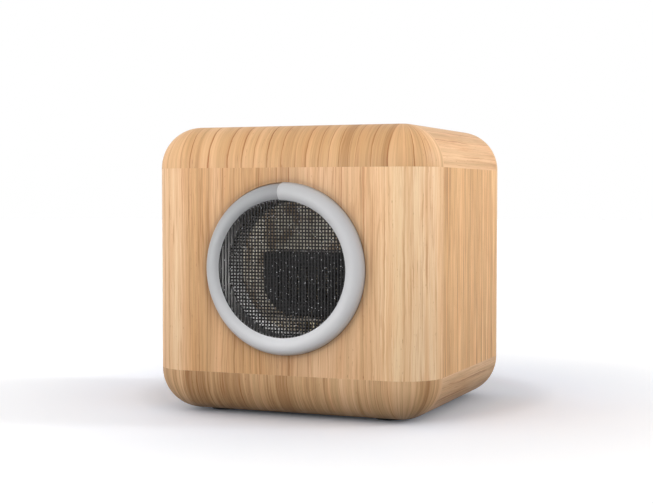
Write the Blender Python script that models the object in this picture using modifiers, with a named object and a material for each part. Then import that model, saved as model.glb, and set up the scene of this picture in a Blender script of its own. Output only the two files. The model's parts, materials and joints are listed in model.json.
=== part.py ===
"""Desk carbon dioxide monitor: a ring light and a wire grille in an oak case of six boards.

Metres, +Z up, the front faces -Y. The origin is on the ground, under the middle of the object.
Names that end in _Y are places along the depth, measured from the front to the back.
"""

import math

import bmesh
import bpy
from mathutils import Matrix

# Case
CASE_WIDTH = 0.1044
CASE_DEPTH = 0.0964
CASE_HEIGHT = 0.1000
BOARD_THICKNESS = 0.0147
EDGE_LAND = 0.0002
GLUE_LINE = 0.00005
FOOT_HEIGHT = 0.0010
FOOT_RADIUS = 0.0055

# Clearances
CLEARANCE = 0.0003
STACK_GAP = 0.0001

# Ring light, measured from its centre and from the front panel's face
RING_SIDE = 0.0005
RING_RAISE = 0.0010
RING_MARGIN = 0.00535
RING_TUBE_RADIUS = 0.00315
RING_SWELL = 0.00035
RING_STAND_OFF = 0.00045
RING_SEAT_DEPTH = 0.0022
RING_LIP_OVERLAP = 0.0007
RING_LIP_EDGE = 0.0001
BARREL_WALL = 0.0014
BARREL_INSET = 0.0016
NOSE_LENGTH = 0.0018
NOSE_GAP = 0.0004
NOSE_BLEND = math.radians(24)

# Wire grilles and the sleeves behind them
WIRE_PITCH = 0.00118
WIRE_WIDTH = 0.00056
GRILLE_THICKNESS = 0.0006
GRILLE_SPACING = 0.0071
SLEEVE_WALL = 0.0010

# LED board
LED_BOARD_GAP = 0.0005
LED_BOARD_THICKNESS = 0.0016
LED_BOARD_EDGE = 0.0005
LED_COUNT = 12
LED_SIZE = 0.0014
LED_HEIGHT = 0.0010
LED_SCREW_COUNT = 3
LED_SCREW_LENGTH = 0.0080

# Screws
SCREW_RADIUS = 0.0011
SCREW_HEAD_RADIUS = 0.0022
SCREW_HEAD_HEIGHT = 0.0016
PILOT_GAP = 0.0002

# Sensor housing
POD_WIDTH = 0.0344
POD_HEIGHT = 0.0226
POD_DEPTH = 0.0140
POD_WALL = 0.0015
POD_CORNER = 0.0090
POD_TOP_CORNER = 0.0015
POD_DROP = 0.0063
POD_GAP = 0.0032
POD_SLOT_COUNT = 7
POD_SLOT_PITCH = 0.0036
POD_SLOT_WIDTH = 0.0014
POD_SLOT_HEIGHT = 0.0120
SENSOR_WIDTH = 0.0250
SENSOR_HEIGHT = 0.0110
SENSOR_DEPTH = 0.0060
SENSOR_TUBE_RADIUS = 0.0034
HUMIDITY_SIZE = 0.0030
HUMIDITY_HEIGHT = 0.0010
HEADER_LENGTH = 0.0127
HEADER_SIZE = 0.0025
HEADER_PINS = 5

# Main board
PCB_THICKNESS = 0.0016
MAIN_BOARD_SIDE_GAP = 0.00045
MAIN_BOARD_FRONT_GAP = 0.0022
MAIN_BOARD_BACK_GAP = 0.0006
HOLE_INSET = 0.0040
STANDOFF_RADIUS = 0.0025
STUD_LENGTH = 0.0060
TAPPED_DEPTH = 0.0070
BOARD_SCREW_LENGTH = 0.0060
MODULE_GAP = 0.0061
MODULE_WIDTH = 0.0180
MODULE_LENGTH = 0.0240
MODULE_THICKNESS = 0.0010
MODULE_CAN_HEIGHT = 0.0022
MODULE_CAN_MARGIN = 0.0010
MODULE_AERIAL = 0.0055

# Back panel: plug opening, button hole and the pocket behind them
PORT_WALL = 0.0045
PORT_WIDTH = 0.0130
PORT_HEIGHT = 0.0076
PORT_CORNER = 0.0030
POCKET_MARGIN = 0.0010
POCKET_CORNER = 0.0020
TONGUE_SETBACK = 0.0028
USB_WIDTH = 0.0090
USB_HEIGHT = 0.0033
USB_LENGTH = 0.0074
USB_CORNER_LAND = 0.00015
USB_SHELL = 0.0003
USB_MOUTH_DEPTH = 0.0060
USB_TONGUE_WIDTH = 0.0067
USB_TONGUE_THICKNESS = 0.0007
USB_TONGUE_LENGTH = 0.0048
BUTTON_SPACING = 0.0130
BUTTON_RADIUS = 0.0030
BUTTON_PROUD = 0.0010
BUTTON_TRAVEL = 0.0006
BUTTON_FLANGE_RADIUS = 0.0042
BUTTON_FLANGE_THICKNESS = 0.0012
BUTTON_EDGE = 0.0005
SWITCH_WIDTH = 0.0060
SWITCH_HEIGHT = 0.0038
SWITCH_DEPTH = 0.0036
PLUNGER_RADIUS = 0.0010
PLUNGER_REACH = 0.0016
PLUNGER_SHAFT = 0.0010

# Lead between the two boards
LEAD_RADIUS = 0.0010
PLUG_WIDTH = 0.0060
PLUG_DEPTH = 0.0040
PLUG_HEIGHT = 0.0046
LEAD_ANGLE = math.radians(-12)
BOARD_PLUG_GAP = 0.0020
LEAD_POINTS = 13

# Bottom panel's fasteners
BLOCK_SIZE = 0.0120
BLOCK_CAP = 0.0015
CASE_SCREW_RADIUS = 0.0014
CASE_SCREW_HEAD = 0.0028
CASE_SCREW_BITE = 0.0100
CASE_SCREW_POINT = 0.0020
HEAD_RECESS = 0.0003

# Facets
EDGE_SEGMENTS = 8
RING_STEPS = 72
TUBE_STEPS = 7
ROUND_STEPS = 16
SMALL_STEPS = 12

# Sizes and places that follow from the sizes above
EDGE_RADIUS = BOARD_THICKNESS - EDGE_LAND
RING_REACH = RING_STAND_OFF + RING_TUBE_RADIUS + RING_SWELL
FRONT_Y = (RING_REACH - BUTTON_PROUD - CASE_DEPTH) / 2
BACK_Y = FRONT_Y + CASE_DEPTH
BASE_Z = FOOT_HEIGHT
TOP_Z = BASE_Z + CASE_HEIGHT
SIDE_X = CASE_WIDTH / 2
CAVITY_X = SIDE_X - BOARD_THICKNESS
CAVITY_FRONT_Y = FRONT_Y + BOARD_THICKNESS
CAVITY_BACK_Y = BACK_Y - BOARD_THICKNESS
FLOOR_Z = BASE_Z + BOARD_THICKNESS
CEILING_Z = TOP_Z - BOARD_THICKNESS
RING_Z = (BASE_Z + TOP_Z) / 2 + RING_RAISE
FACE_HALF_WIDTH = SIDE_X - EDGE_RADIUS
FACE_HALF_HEIGHT = CASE_HEIGHT / 2 - BOARD_THICKNESS
RING_OUTER = min(FACE_HALF_WIDTH - RING_SIDE, FACE_HALF_HEIGHT - RING_RAISE) - RING_MARGIN
RING_RADIUS = RING_OUTER - RING_TUBE_RADIUS
BARREL_BORE = RING_RADIUS - BARREL_INSET
BARREL_RADIUS = BARREL_BORE + BARREL_WALL
HOLE_RADIUS = BARREL_RADIUS + CLEARANCE
LIP_RADIUS = BARREL_BORE - RING_LIP_OVERLAP
LIP_ANGLE = math.acos((LIP_RADIUS - RING_RADIUS) / RING_TUBE_RADIUS)
LIP_SEAT = RING_STAND_OFF + RING_TUBE_RADIUS * math.sin(LIP_ANGLE) - RING_LIP_EDGE
SLEEVE_RADIUS = BARREL_BORE - CLEARANCE / 2
SLEEVE_BORE = SLEEVE_RADIUS - SLEEVE_WALL
LED_BOARD_FACE = -BOARD_THICKNESS - LED_BOARD_GAP
LED_BOARD_BACK_Y = FRONT_Y - LED_BOARD_FACE + LED_BOARD_THICKNESS
LED_SCREW_CIRCLE = HOLE_RADIUS + LED_BOARD_EDGE + SCREW_HEAD_RADIUS
LED_BOARD_OUTER = LED_SCREW_CIRCLE + SCREW_HEAD_RADIUS + LED_BOARD_EDGE
LED_CIRCLE = BARREL_BORE + BARREL_WALL / 2
POD_Z = RING_Z - POD_DROP
POD_FRONT_Y = LED_BOARD_BACK_Y + POD_GAP
POD_BACK_Y = POD_FRONT_Y + POD_DEPTH
SENSOR_BOARD_Y = POD_BACK_Y + STACK_GAP
SENSOR_BOARD_BACK_Y = SENSOR_BOARD_Y + PCB_THICKNESS
HEADER_Y = SENSOR_BOARD_BACK_Y + STACK_GAP
MAIN_BOARD_TOP = POD_Z - POD_HEIGHT / 2 - CLEARANCE
MAIN_BOARD_UNDER = MAIN_BOARD_TOP - PCB_THICKNESS
MAIN_BOARD_FRONT_Y = LED_BOARD_BACK_Y + MAIN_BOARD_FRONT_GAP
MAIN_BOARD_BACK_Y = CAVITY_BACK_Y - MAIN_BOARD_BACK_GAP
POCKET_FLOOR_Y = BACK_Y - PORT_WALL
USB_Z = MAIN_BOARD_TOP + STACK_GAP + USB_HEIGHT / 2
SWITCH_Z = MAIN_BOARD_TOP + STACK_GAP + SWITCH_HEIGHT / 2
FLANGE_BACK_Y = POCKET_FLOOR_Y - CLEARANCE
FLANGE_FRONT_Y = FLANGE_BACK_Y - BUTTON_FLANGE_THICKNESS
SWITCH_BACK_Y = FLANGE_FRONT_Y - STACK_GAP - PLUNGER_REACH
POCKET_LEFT_X = -USB_WIDTH / 2 - POCKET_MARGIN - POCKET_CORNER
POCKET_RIGHT_X = BUTTON_SPACING + BUTTON_FLANGE_RADIUS + POCKET_MARGIN
POCKET_LOW_Z = min(SWITCH_Z - BUTTON_FLANGE_RADIUS, MAIN_BOARD_UNDER) - POCKET_MARGIN
POCKET_HIGH_Z = SWITCH_Z + BUTTON_FLANGE_RADIUS + POCKET_MARGIN
BLOCK_X = CAVITY_X - GLUE_LINE - BLOCK_SIZE / 2
MAIN_BOARD_HALF = BLOCK_X - BLOCK_SIZE / 2 - MAIN_BOARD_SIDE_GAP
BLOCK_HEIGHT = CASE_SCREW_BITE + BLOCK_CAP
USB_CORNER = USB_HEIGHT / 2 - USB_CORNER_LAND
BLOCK_Y = (CASE_DEPTH - BLOCK_SIZE) / 2 - BOARD_THICKNESS - GLUE_LINE
MIDDLE_Y = (FRONT_Y + BACK_Y) / 2
CORNERS = {"front_left": (-1, -1), "front_right": (1, -1), "back_left": (-1, 1), "back_right": (1, 1)}

# name: (colour, roughness, metallic)
FINISHES = {
    "oak": ((0.62, 0.40, 0.20), 0.55, 0.0),
    "diffuser": ((0.62, 0.62, 0.63), 0.35, 0.0),
    "black_wire": ((0.02, 0.02, 0.022), 0.45, 0.6),
    "grey_plastic": ((0.55, 0.55, 0.56), 0.5, 0.0),
    "black_plastic": ((0.03, 0.03, 0.035), 0.5, 0.0),
    "white_board": ((0.75, 0.72, 0.62), 0.5, 0.0),
    "gold": ((0.83, 0.62, 0.26), 0.3, 1.0),
    "brass": ((0.72, 0.55, 0.25), 0.35, 1.0),
    "steel": ((0.55, 0.55, 0.56), 0.35, 1.0),
    "lead_cover": ((0.08, 0.08, 0.09), 0.6, 0.0),
    "rubber": ((0.04, 0.04, 0.04), 0.8, 0.0),
}


def clear_scene():
    for obj in list(bpy.data.objects):
        bpy.data.objects.remove(obj, do_unlink=True)


def new_collection(name):
    made = bpy.data.collections.new(name)
    bpy.context.scene.collection.children.link(made)
    return made


def new_material(name):
    colour, roughness, metallic = FINISHES[name]
    material = bpy.data.materials.new(name)
    material.use_nodes = True
    shader = material.node_tree.nodes["Principled BSDF"]
    shader.inputs["Base Color"].default_value = (*colour, 1.0)
    shader.inputs["Roughness"].default_value = roughness
    shader.inputs["Metallic"].default_value = metallic
    return material


clear_scene()
PARTS = new_collection("carbon_dioxide_monitor")
CUTTERS = new_collection("cutters")
MATERIALS = {name: new_material(name) for name in FINISHES}


# Making and joining shapes


def add_object(name, mesh, finish, parent=None):
    """A part with its material, or a cutter where there is no finish."""
    obj = bpy.data.objects.new(name, mesh)
    obj.parent = parent
    if finish:
        mesh.materials.append(MATERIALS[finish])
        PARTS.objects.link(obj)
    else:
        CUTTERS.objects.link(obj)
        obj.hide_render = True
        obj.display_type = "WIRE"
    return obj


def mesh_from(name, bm):
    mesh = bpy.data.meshes.new(name)
    bm.to_mesh(mesh)
    bm.free()
    return mesh


def add_empty(name, location, rotation=(0, 0, 0)):
    empty = bpy.data.objects.new(name, None)
    empty.location = location
    empty.rotation_euler = rotation
    PARTS.objects.link(empty)
    return empty


def block(name, low, high, finish=None, parent=None):
    """A block between two corners, with its origin at its middle."""
    bm = bmesh.new()
    bmesh.ops.create_cube(bm, size=1)
    bmesh.ops.scale(bm, vec=[b - a for a, b in zip(low, high)], verts=bm.verts)
    obj = add_object(name, mesh_from(name, bm), finish, parent)
    obj.location = [(a + b) / 2 for a, b in zip(low, high)]
    return obj


def add_bevel(obj, radius, weight_of, segments=EDGE_SEGMENTS):
    """Rounds the edges that weight_of(edge) gives a share of the radius."""
    bm = bmesh.new()
    bm.from_mesh(obj.data)
    weights = bm.edges.layers.float.new("bevel_weight_edge")
    for edge in bm.edges:
        edge[weights] = weight_of(edge)
    bm.to_mesh(obj.data)
    bm.free()
    bevel = obj.modifiers.new("rounded edges", "BEVEL")
    bevel.limit_method = "WEIGHT"
    bevel.width = radius
    bevel.segments = segments
    return obj


def runs_along(edge, axis):
    along = edge.verts[1].co - edge.verts[0].co
    return abs(along[axis]) > 0.9 * along.length


def round_long_edges(obj, radius, segments=4):
    """Rounds the four edges of a block that run along the depth."""
    return add_bevel(obj, radius, lambda edge: float(runs_along(edge, 1)), segments)


def turned(name, profile, finish=None, parent=None, steps=ROUND_STEPS):
    """A shape turned about Z. The profile starts at the top and runs down the outer side."""
    bm = bmesh.new()
    points = [bm.verts.new((radius, 0, height)) for radius, height in profile]
    on_axis = profile[0][0] == 0
    ends = points if on_axis else points + points[:1]
    for start, end in zip(ends, ends[1:]):
        bm.edges.new((start, end))
    obj = add_object(name, mesh_from(name, bm), finish, parent)
    screw = obj.modifiers.new("turned", "SCREW")
    screw.steps = steps
    screw.render_steps = steps
    screw.use_merge_vertices = True
    screw.merge_threshold = 0.00001
    screw.use_smooth_shade = finish is not None
    return obj


def tube(name, inner, outer, top, bottom, finish, parent, steps=RING_STEPS):
    profile = [(outer, top), (outer, bottom), (inner, bottom), (inner, top)]
    return turned(name, profile, finish, parent, steps)


def rod(name, radius, top, bottom, finish=None, parent=None, steps=SMALL_STEPS):
    return turned(name, [(0, top), (radius, top), (radius, bottom), (0, bottom)], finish, parent, steps)


def boolean(obj, tool, operation):
    modifier = obj.modifiers.new(f"{operation.lower()} {tool.name}", "BOOLEAN")
    modifier.object = tool
    modifier.operation = operation
    modifier.solver = "EXACT"


def cut(obj, *tools):
    for tool in tools:
        boolean(obj, tool, "DIFFERENCE")


def unite(obj, *tools):
    for tool in tools:
        boolean(obj, tool, "UNION")


def arc(centre, radius, start, end, steps):
    """Points of an arc, as (radius from the axis, height)."""
    angles = [start + (end - start) * step / steps for step in range(steps + 1)]
    return [(centre[0] + radius * math.cos(a), centre[1] + radius * math.sin(a)) for a in angles]


# Case


def on_case_side(face):
    """Whether a face lies on the outside of the case, in the case's own frame."""
    middle = face.calc_center_median()
    reach = (abs(middle.x) - SIDE_X, abs(middle.y - MIDDLE_Y) - CASE_DEPTH / 2)
    heights = (middle.z - TOP_Z, BASE_Z - middle.z)
    return max(*reach, *heights) > -GLUE_LINE / 2


def oak_board(name, low, high):
    """A board whose edges are rounded where two of its faces are on the outside of the case."""
    obj = block(name, low, high, "oak")
    obj.data.transform(obj.matrix_basis)
    obj.location = (0, 0, 0)
    return add_bevel(obj, EDGE_RADIUS, lambda edge: float(all(map(on_case_side, edge.link_faces))))


def make_case():
    """The six boards: front and back over the sides' ends, top and bottom over all four."""
    low, high = FLOOR_Z + GLUE_LINE, CEILING_Z - GLUE_LINE
    front_y, back_y = CAVITY_FRONT_Y + GLUE_LINE, CAVITY_BACK_Y - GLUE_LINE
    boards = {
        "front_panel": ((-SIDE_X, FRONT_Y, low), (SIDE_X, CAVITY_FRONT_Y, high)),
        "back_panel": ((-SIDE_X, CAVITY_BACK_Y, low), (SIDE_X, BACK_Y, high)),
        "left_side_panel": ((-SIDE_X, front_y, low), (-CAVITY_X, back_y, high)),
        "right_side_panel": ((CAVITY_X, front_y, low), (SIDE_X, back_y, high)),
        "top_panel": ((-SIDE_X, FRONT_Y, CEILING_Z), (SIDE_X, BACK_Y, TOP_Z)),
        "bottom_panel": ((-SIDE_X, FRONT_Y, BASE_Z), (SIDE_X, BACK_Y, FLOOR_Z)),
    }
    return {name: oak_board(name, *corners) for name, corners in boards.items()}


# Ring light and grilles, built about the ring's axis with +Z towards the viewer


def ring_profile():
    """The ring's section: a round tube in front, a lip over the grille and a barrel behind."""
    tube_arc = arc((RING_RADIUS, RING_STAND_OFF), RING_TUBE_RADIUS, LIP_ANGLE, 0, 2 * TUBE_STEPS)
    seat, barrel_end = CLEARANCE - RING_SEAT_DEPTH, LED_BOARD_FACE + LED_HEIGHT + CLEARANCE
    body = [
        (RING_OUTER, 0),
        (RING_OUTER, seat),
        (BARREL_RADIUS, seat),
        (BARREL_RADIUS, barrel_end),
        (BARREL_BORE, barrel_end),
        (BARREL_BORE, LIP_SEAT),
        (LIP_RADIUS, LIP_SEAT),
    ]
    return tube_arc + body


def raise_start(vert):
    """Turns a plain ring into one whose tube starts full and rounded at the top of the ring,
    gets thinner clockwise, and ends against its own rounded start."""
    radius = math.hypot(vert.co.x, vert.co.y)
    share = (math.atan2(vert.co.x, vert.co.y) / math.tau + 1e-9) % 1.0
    steps_open = RING_STEPS / (RING_STEPS - 1)
    turn = share * steps_open * (math.tau - NOSE_GAP / RING_RADIUS)
    out, up = radius - RING_RADIUS, vert.co.z - RING_STAND_OFF
    if abs(math.hypot(out, up) - RING_TUBE_RADIUS) < STACK_GAP / 10 and vert.co.z > 0:
        swell = RING_SWELL * (1 - share * steps_open) / RING_TUBE_RADIUS
        radius += out * swell
        vert.co.z += up * swell
        beside = min(abs(out) / RING_TUBE_RADIUS, 1)
        near = max(0, 1 - min(turn, math.tau - turn) / NOSE_BLEND)
        turn -= NOSE_LENGTH / RING_RADIUS * math.sqrt(1 - beside**2) * near
    vert.co.x, vert.co.y = radius * math.sin(turn), radius * math.cos(turn)


def make_light_ring(axis):
    bm = bmesh.new()
    points = [bm.verts.new((0, radius, height)) for radius, height in ring_profile()]
    edges = [bm.edges.new(pair) for pair in zip(points, points[1:] + points[:1])]
    bmesh.ops.spin(
        bm,
        geom=points + edges,
        axis=(0, 0, 1),
        angle=math.tau,
        steps=RING_STEPS,
        use_merge=True,
    )
    for vert in bm.verts:
        raise_start(vert)
    bmesh.ops.recalc_face_normals(bm, faces=bm.faces)
    obj = add_object("light_ring", mesh_from("light_ring", bm), "diffuser", axis)
    obj.data.shade_smooth()
    obj.data.set_sharp_from_angle(angle=math.radians(40))


def make_grille(name, front, turn, axis):
    """A disc with one slot between each two wires, so that its rim and wires are one piece."""
    obj = rod(name, SLEEVE_RADIUS, front, front - GRILLE_THICKNESS, "black_wire", axis, RING_STEPS)
    count = int((2 * LIP_RADIUS - WIRE_WIDTH) / WIRE_PITCH)
    bm = bmesh.new()
    for number in range(count):
        across = (number - (count - 1) / 2) * WIRE_PITCH
        edge = abs(across) + WIRE_PITCH / 2
        length = 2 * math.sqrt(LIP_RADIUS**2 - edge**2)
        made = bmesh.ops.create_cube(bm, size=1)["verts"]
        bmesh.ops.scale(bm, vec=(WIRE_PITCH - WIRE_WIDTH, length, 3 * GRILLE_THICKNESS), verts=made)
        bmesh.ops.translate(bm, vec=(across, 0, front - GRILLE_THICKNESS / 2), verts=made)
    slots = add_object(f"{name}_slots", mesh_from(f"{name}_slots", bm), None, axis)
    slots.rotation_euler.z = turn
    cut(obj, slots)


def make_stack(axis):
    """What the ring's bore holds, from the front: grille, spacer, grille and sleeve."""
    front = LIP_SEAT - STACK_GAP
    rear = front - GRILLE_SPACING
    make_grille("front_grille", front, 0, axis)
    make_grille("rear_grille", rear, math.pi / 2, axis)
    behind_front, behind_rear = (place - GRILLE_THICKNESS - STACK_GAP for place in (front, rear))
    spacer_end, sleeve_end = rear + STACK_GAP, LED_BOARD_FACE + STACK_GAP
    tube("grille_spacer", SLEEVE_BORE, SLEEVE_RADIUS, behind_front, spacer_end, "grey_plastic", axis)
    tube("rear_sleeve", SLEEVE_BORE, SLEEVE_RADIUS, behind_rear, sleeve_end, "grey_plastic", axis)


def around(circle, count, number, start=0.0):
    angle = start + math.tau * number / count
    return circle * math.sin(angle), circle * math.cos(angle)


def make_led_board(axis):
    """The LED board: a ring of board with its LEDs facing the end of the ring's barrel."""
    inner = SLEEVE_RADIUS - SLEEVE_WALL / 2
    back = LED_BOARD_FACE - LED_BOARD_THICKNESS
    board = tube("led_board", inner, LED_BOARD_OUTER, LED_BOARD_FACE, back, "white_board", axis)
    bm = bmesh.new()
    for number in range(LED_COUNT):
        made = bmesh.ops.create_cube(bm, size=1)["verts"]
        bmesh.ops.scale(bm, vec=(LED_SIZE, LED_SIZE, 2 * LED_HEIGHT), verts=made)
        bmesh.ops.translate(bm, vec=(0, LED_CIRCLE, LED_BOARD_FACE), verts=made)
        turn = Matrix.Rotation(math.tau * number / LED_COUNT, 3, "Z")
        bmesh.ops.rotate(bm, matrix=turn, verts=made)
    unite(board, add_object("leds", mesh_from("leds", bm), None, axis))
    return board


def pan_screw(name, length, location, parent=None, upwards=False):
    """A pan-head screw whose head sits on `location`; its tip points down unless `upwards`."""
    chamfer = SCREW_HEAD_HEIGHT / 2
    profile = [
        (0, SCREW_HEAD_HEIGHT),
        (SCREW_HEAD_RADIUS - chamfer, SCREW_HEAD_HEIGHT),
        (SCREW_HEAD_RADIUS, chamfer),
        (SCREW_HEAD_RADIUS, 0),
        (SCREW_RADIUS, 0),
        (SCREW_RADIUS, SCREW_RADIUS - length),
        (0, -length),
    ]
    screw = turned(name, profile, "steel", parent, SMALL_STEPS)
    screw.location = location
    screw.rotation_euler.x = math.pi if upwards else 0


def fix_led_board(board, front_panel, axis):
    """Screws from behind through the LED board into the front panel."""
    back = LED_BOARD_FACE - LED_BOARD_THICKNESS
    reach = back + LED_SCREW_LENGTH + CLEARANCE
    for number in range(LED_SCREW_COUNT):
        place = around(LED_SCREW_CIRCLE, LED_SCREW_COUNT, number, math.pi / LED_SCREW_COUNT)
        name = f"led_board_screw_{number + 1}"
        hole = rod(f"{name}_hole", SCREW_RADIUS + PILOT_GAP, reach, back - CLEARANCE, None, axis)
        hole.location = (*place, 0)
        hole.rotation_euler.z = math.pi / SMALL_STEPS
        cut(board, hole)
        cut(front_panel, hole)
        pan_screw(name, LED_SCREW_LENGTH, (*place, back - STACK_GAP), axis, upwards=True)


def cut_ring_hole(front_panel, axis):
    """The panel's counterbore for the ring's head and its hole for the barrel."""
    seat, over = RING_OUTER + CLEARANCE, BOARD_THICKNESS + CLEARANCE
    profile = [
        (0, CLEARANCE),
        (seat, CLEARANCE),
        (seat, -RING_SEAT_DEPTH),
        (HOLE_RADIUS, -RING_SEAT_DEPTH),
        (HOLE_RADIUS, -over),
        (0, -over),
    ]
    cut(front_panel, turned("ring_hole", profile, None, axis, RING_STEPS))


def make_ring_light(front_panel):
    axis = add_empty("ring_axis", (RING_SIDE, FRONT_Y, RING_Z), (math.pi / 2, 0, 0))
    cut_ring_hole(front_panel, axis)
    make_light_ring(axis)
    make_stack(axis)
    fix_led_board(make_led_board(axis), front_panel, axis)


# Sensor housing


def pod_block(name, front_y, back_y, finish):
    """A block with the housing's outline: small corners above, large ones below."""
    half_width, half_height = POD_WIDTH / 2, POD_HEIGHT / 2
    low = (RING_SIDE - half_width, front_y, POD_Z - half_height)
    high = (RING_SIDE + half_width, back_y, POD_Z + half_height)
    return block(name, low, high, finish)


def pod_corner(edge):
    """The share of the large corner's radius that an edge along the depth gets."""
    if not runs_along(edge, 1):
        return 0.0
    return 1.0 if edge.verts[0].co.z < 0 else POD_TOP_CORNER / POD_CORNER


def make_sensor_housing():
    """The slotted cover, open at the back, where the sensor board closes it."""
    housing = pod_block("sensor_housing", POD_FRONT_Y, POD_BACK_Y, "black_plastic")
    bm = bmesh.new()
    bm.from_mesh(housing.data)
    back = max(bm.faces, key=lambda face: face.calc_center_median().y)
    bmesh.ops.delete(bm, geom=[back], context="FACES_ONLY")
    bm.to_mesh(housing.data)
    bm.free()
    add_bevel(housing, POD_CORNER, pod_corner, 6)
    wall = housing.modifiers.new("wall", "SOLIDIFY")
    wall.thickness = POD_WALL
    wall.offset = -1
    wall.use_even_offset = True
    bm = bmesh.new()
    for number in range(POD_SLOT_COUNT):
        across = RING_SIDE + (number - (POD_SLOT_COUNT - 1) / 2) * POD_SLOT_PITCH
        made = bmesh.ops.create_cube(bm, size=1)["verts"]
        bmesh.ops.scale(bm, vec=(POD_SLOT_WIDTH, 2 * POD_WALL, POD_SLOT_HEIGHT), verts=made)
        bmesh.ops.translate(bm, vec=(across, POD_FRONT_Y + POD_WALL / 2, POD_Z), verts=made)
    cut(housing, add_object("housing_slots", mesh_from("housing_slots", bm), None))


def make_sensors():
    """The sensors on their upright board, which stands on the main board."""
    face, back = SENSOR_BOARD_Y, SENSOR_BOARD_BACK_Y
    add_bevel(pod_block("sensor_board", face, back, "white_board"), POD_CORNER, pod_corner, 6)
    front, back_y = face - STACK_GAP - SENSOR_DEPTH, face - STACK_GAP
    half, low_z = SENSOR_WIDTH / 2, POD_Z - SENSOR_HEIGHT / 2 + POD_WALL
    high_z = low_z + SENSOR_HEIGHT
    sensor = block(
        "co2_sensor", (RING_SIDE - half, front, low_z), (RING_SIDE + half, back_y, high_z), "gold"
    )
    tube_half = half - POD_WALL
    gas_tube = rod("sensor_tube", SENSOR_TUBE_RADIUS, tube_half, -tube_half)
    gas_tube.location = (RING_SIDE, front, (low_z + high_z) / 2)
    gas_tube.rotation_euler.y = math.pi / 2
    unite(sensor, gas_tube)
    top = low_z - CLEARANCE
    half = HUMIDITY_SIZE / 2
    low = (RING_SIDE - half, back_y - HUMIDITY_HEIGHT, top - HUMIDITY_SIZE)
    block("humidity_sensor", low, (RING_SIDE + half, back_y, top), "black_plastic")
    header_z = MAIN_BOARD_TOP + STACK_GAP
    half = HEADER_LENGTH / 2
    high = (RING_SIDE + half, HEADER_Y + HEADER_SIZE, header_z + HEADER_SIZE)
    header = block("sensor_header", (RING_SIDE - half, HEADER_Y, header_z), high, "black_plastic")
    pitch = HEADER_LENGTH / HEADER_PINS
    for number in range(HEADER_PINS):
        across = RING_SIDE + (number - (HEADER_PINS - 1) / 2) * pitch
        name = f"header_pin_{number + 1}"
        pin = block(
            name,
            (across - HEADER_SIZE / 8, HEADER_Y + HEADER_SIZE / 2, header_z + HEADER_SIZE / 2),
            (across + HEADER_SIZE / 8, HEADER_Y + 2 * HEADER_SIZE, header_z + 3 * HEADER_SIZE / 4),
        )
        unite(header, pin)


# Main board and what it carries


def plate(name, outline, low_z, thickness, finish):
    """A flat board with the outline given as (x, y) points, anticlockwise."""
    bm = bmesh.new()
    face = bm.faces.new([bm.verts.new((x, y, low_z)) for x, y in outline])
    made = bmesh.ops.extrude_face_region(bm, geom=[face])["geom"]
    top = [item for item in made if isinstance(item, bmesh.types.BMVert)]
    bmesh.ops.translate(bm, vec=(0, 0, thickness), verts=top)
    bmesh.ops.recalc_face_normals(bm, faces=bm.faces)
    return add_object(name, mesh_from(name, bm), finish)


def make_main_board():
    """The board, with a tongue that reaches into the back panel's pocket."""
    half = MAIN_BOARD_HALF
    tongue_y = POCKET_FLOOR_Y - TONGUE_SETBACK
    left, right = POCKET_LEFT_X + POCKET_MARGIN, POCKET_RIGHT_X - POCKET_MARGIN
    outline = [
        (-half, MAIN_BOARD_FRONT_Y),
        (half, MAIN_BOARD_FRONT_Y),
        (half, MAIN_BOARD_BACK_Y),
        (right, MAIN_BOARD_BACK_Y),
        (right, tongue_y),
        (left, tongue_y),
        (left, MAIN_BOARD_BACK_Y),
        (-half, MAIN_BOARD_BACK_Y),
    ]
    return plate("main_board", outline, MAIN_BOARD_UNDER, PCB_THICKNESS, "white_board")


def make_standoffs(main_board, bottom_panel):
    """Round standoffs between the bottom panel and the main board, with a screw in each."""
    x = MAIN_BOARD_HALF - HOLE_INSET
    rows = (MAIN_BOARD_FRONT_Y + HOLE_INSET, MAIN_BOARD_BACK_Y - HOLE_INSET)
    height = MAIN_BOARD_UNDER - FLOOR_Z - 2 * STACK_GAP
    bore = SCREW_RADIUS + PILOT_GAP
    profile = [
        (0, height - TAPPED_DEPTH),
        (bore, height - TAPPED_DEPTH),
        (bore, height),
        (STANDOFF_RADIUS, height),
        (STANDOFF_RADIUS, 0),
        (SCREW_RADIUS, 0),
        (SCREW_RADIUS, -STUD_LENGTH),
        (0, -STUD_LENGTH),
    ]
    for number, place in enumerate([(-x, rows[0]), (x, rows[0]), (-x, rows[1]), (x, rows[1])], 1):
        standoff = turned(f"standoff_{number}", profile, "brass", None, SMALL_STEPS)
        standoff.location = (*place, FLOOR_Z + STACK_GAP)
        pilot = rod(f"standoff_{number}_hole", bore, STACK_GAP, -STUD_LENGTH - CLEARANCE)
        pilot.location = (*place, FLOOR_Z)
        cut(bottom_panel, pilot)
        hole = rod(f"board_screw_{number}_hole", bore, PCB_THICKNESS, -PCB_THICKNESS)
        hole.location = (*place, MAIN_BOARD_TOP - PCB_THICKNESS / 2)
        cut(main_board, hole)
        pan_screw(f"board_screw_{number}", BOARD_SCREW_LENGTH, (*place, MAIN_BOARD_TOP + STACK_GAP))


def make_processor_module():
    """A processor module under a metal can, behind the header, with its aerial end left bare."""
    right = MAIN_BOARD_HALF - HOLE_INSET - SCREW_HEAD_RADIUS - CLEARANCE
    left = right - MODULE_WIDTH
    front = HEADER_Y + 2 * HEADER_SIZE + MODULE_GAP
    back = front + MODULE_LENGTH
    low, top = MAIN_BOARD_TOP + STACK_GAP, MAIN_BOARD_TOP + STACK_GAP + MODULE_THICKNESS
    module = block("processor_module", (left, front, low), (right, back, top), "steel")
    margin = MODULE_CAN_MARGIN
    can = block(
        "module_can",
        (left + margin, front + MODULE_AERIAL, top - MODULE_THICKNESS / 2),
        (right - margin, back - margin, top + MODULE_CAN_HEIGHT),
    )
    unite(module, can)


# Rear port and button


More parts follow.
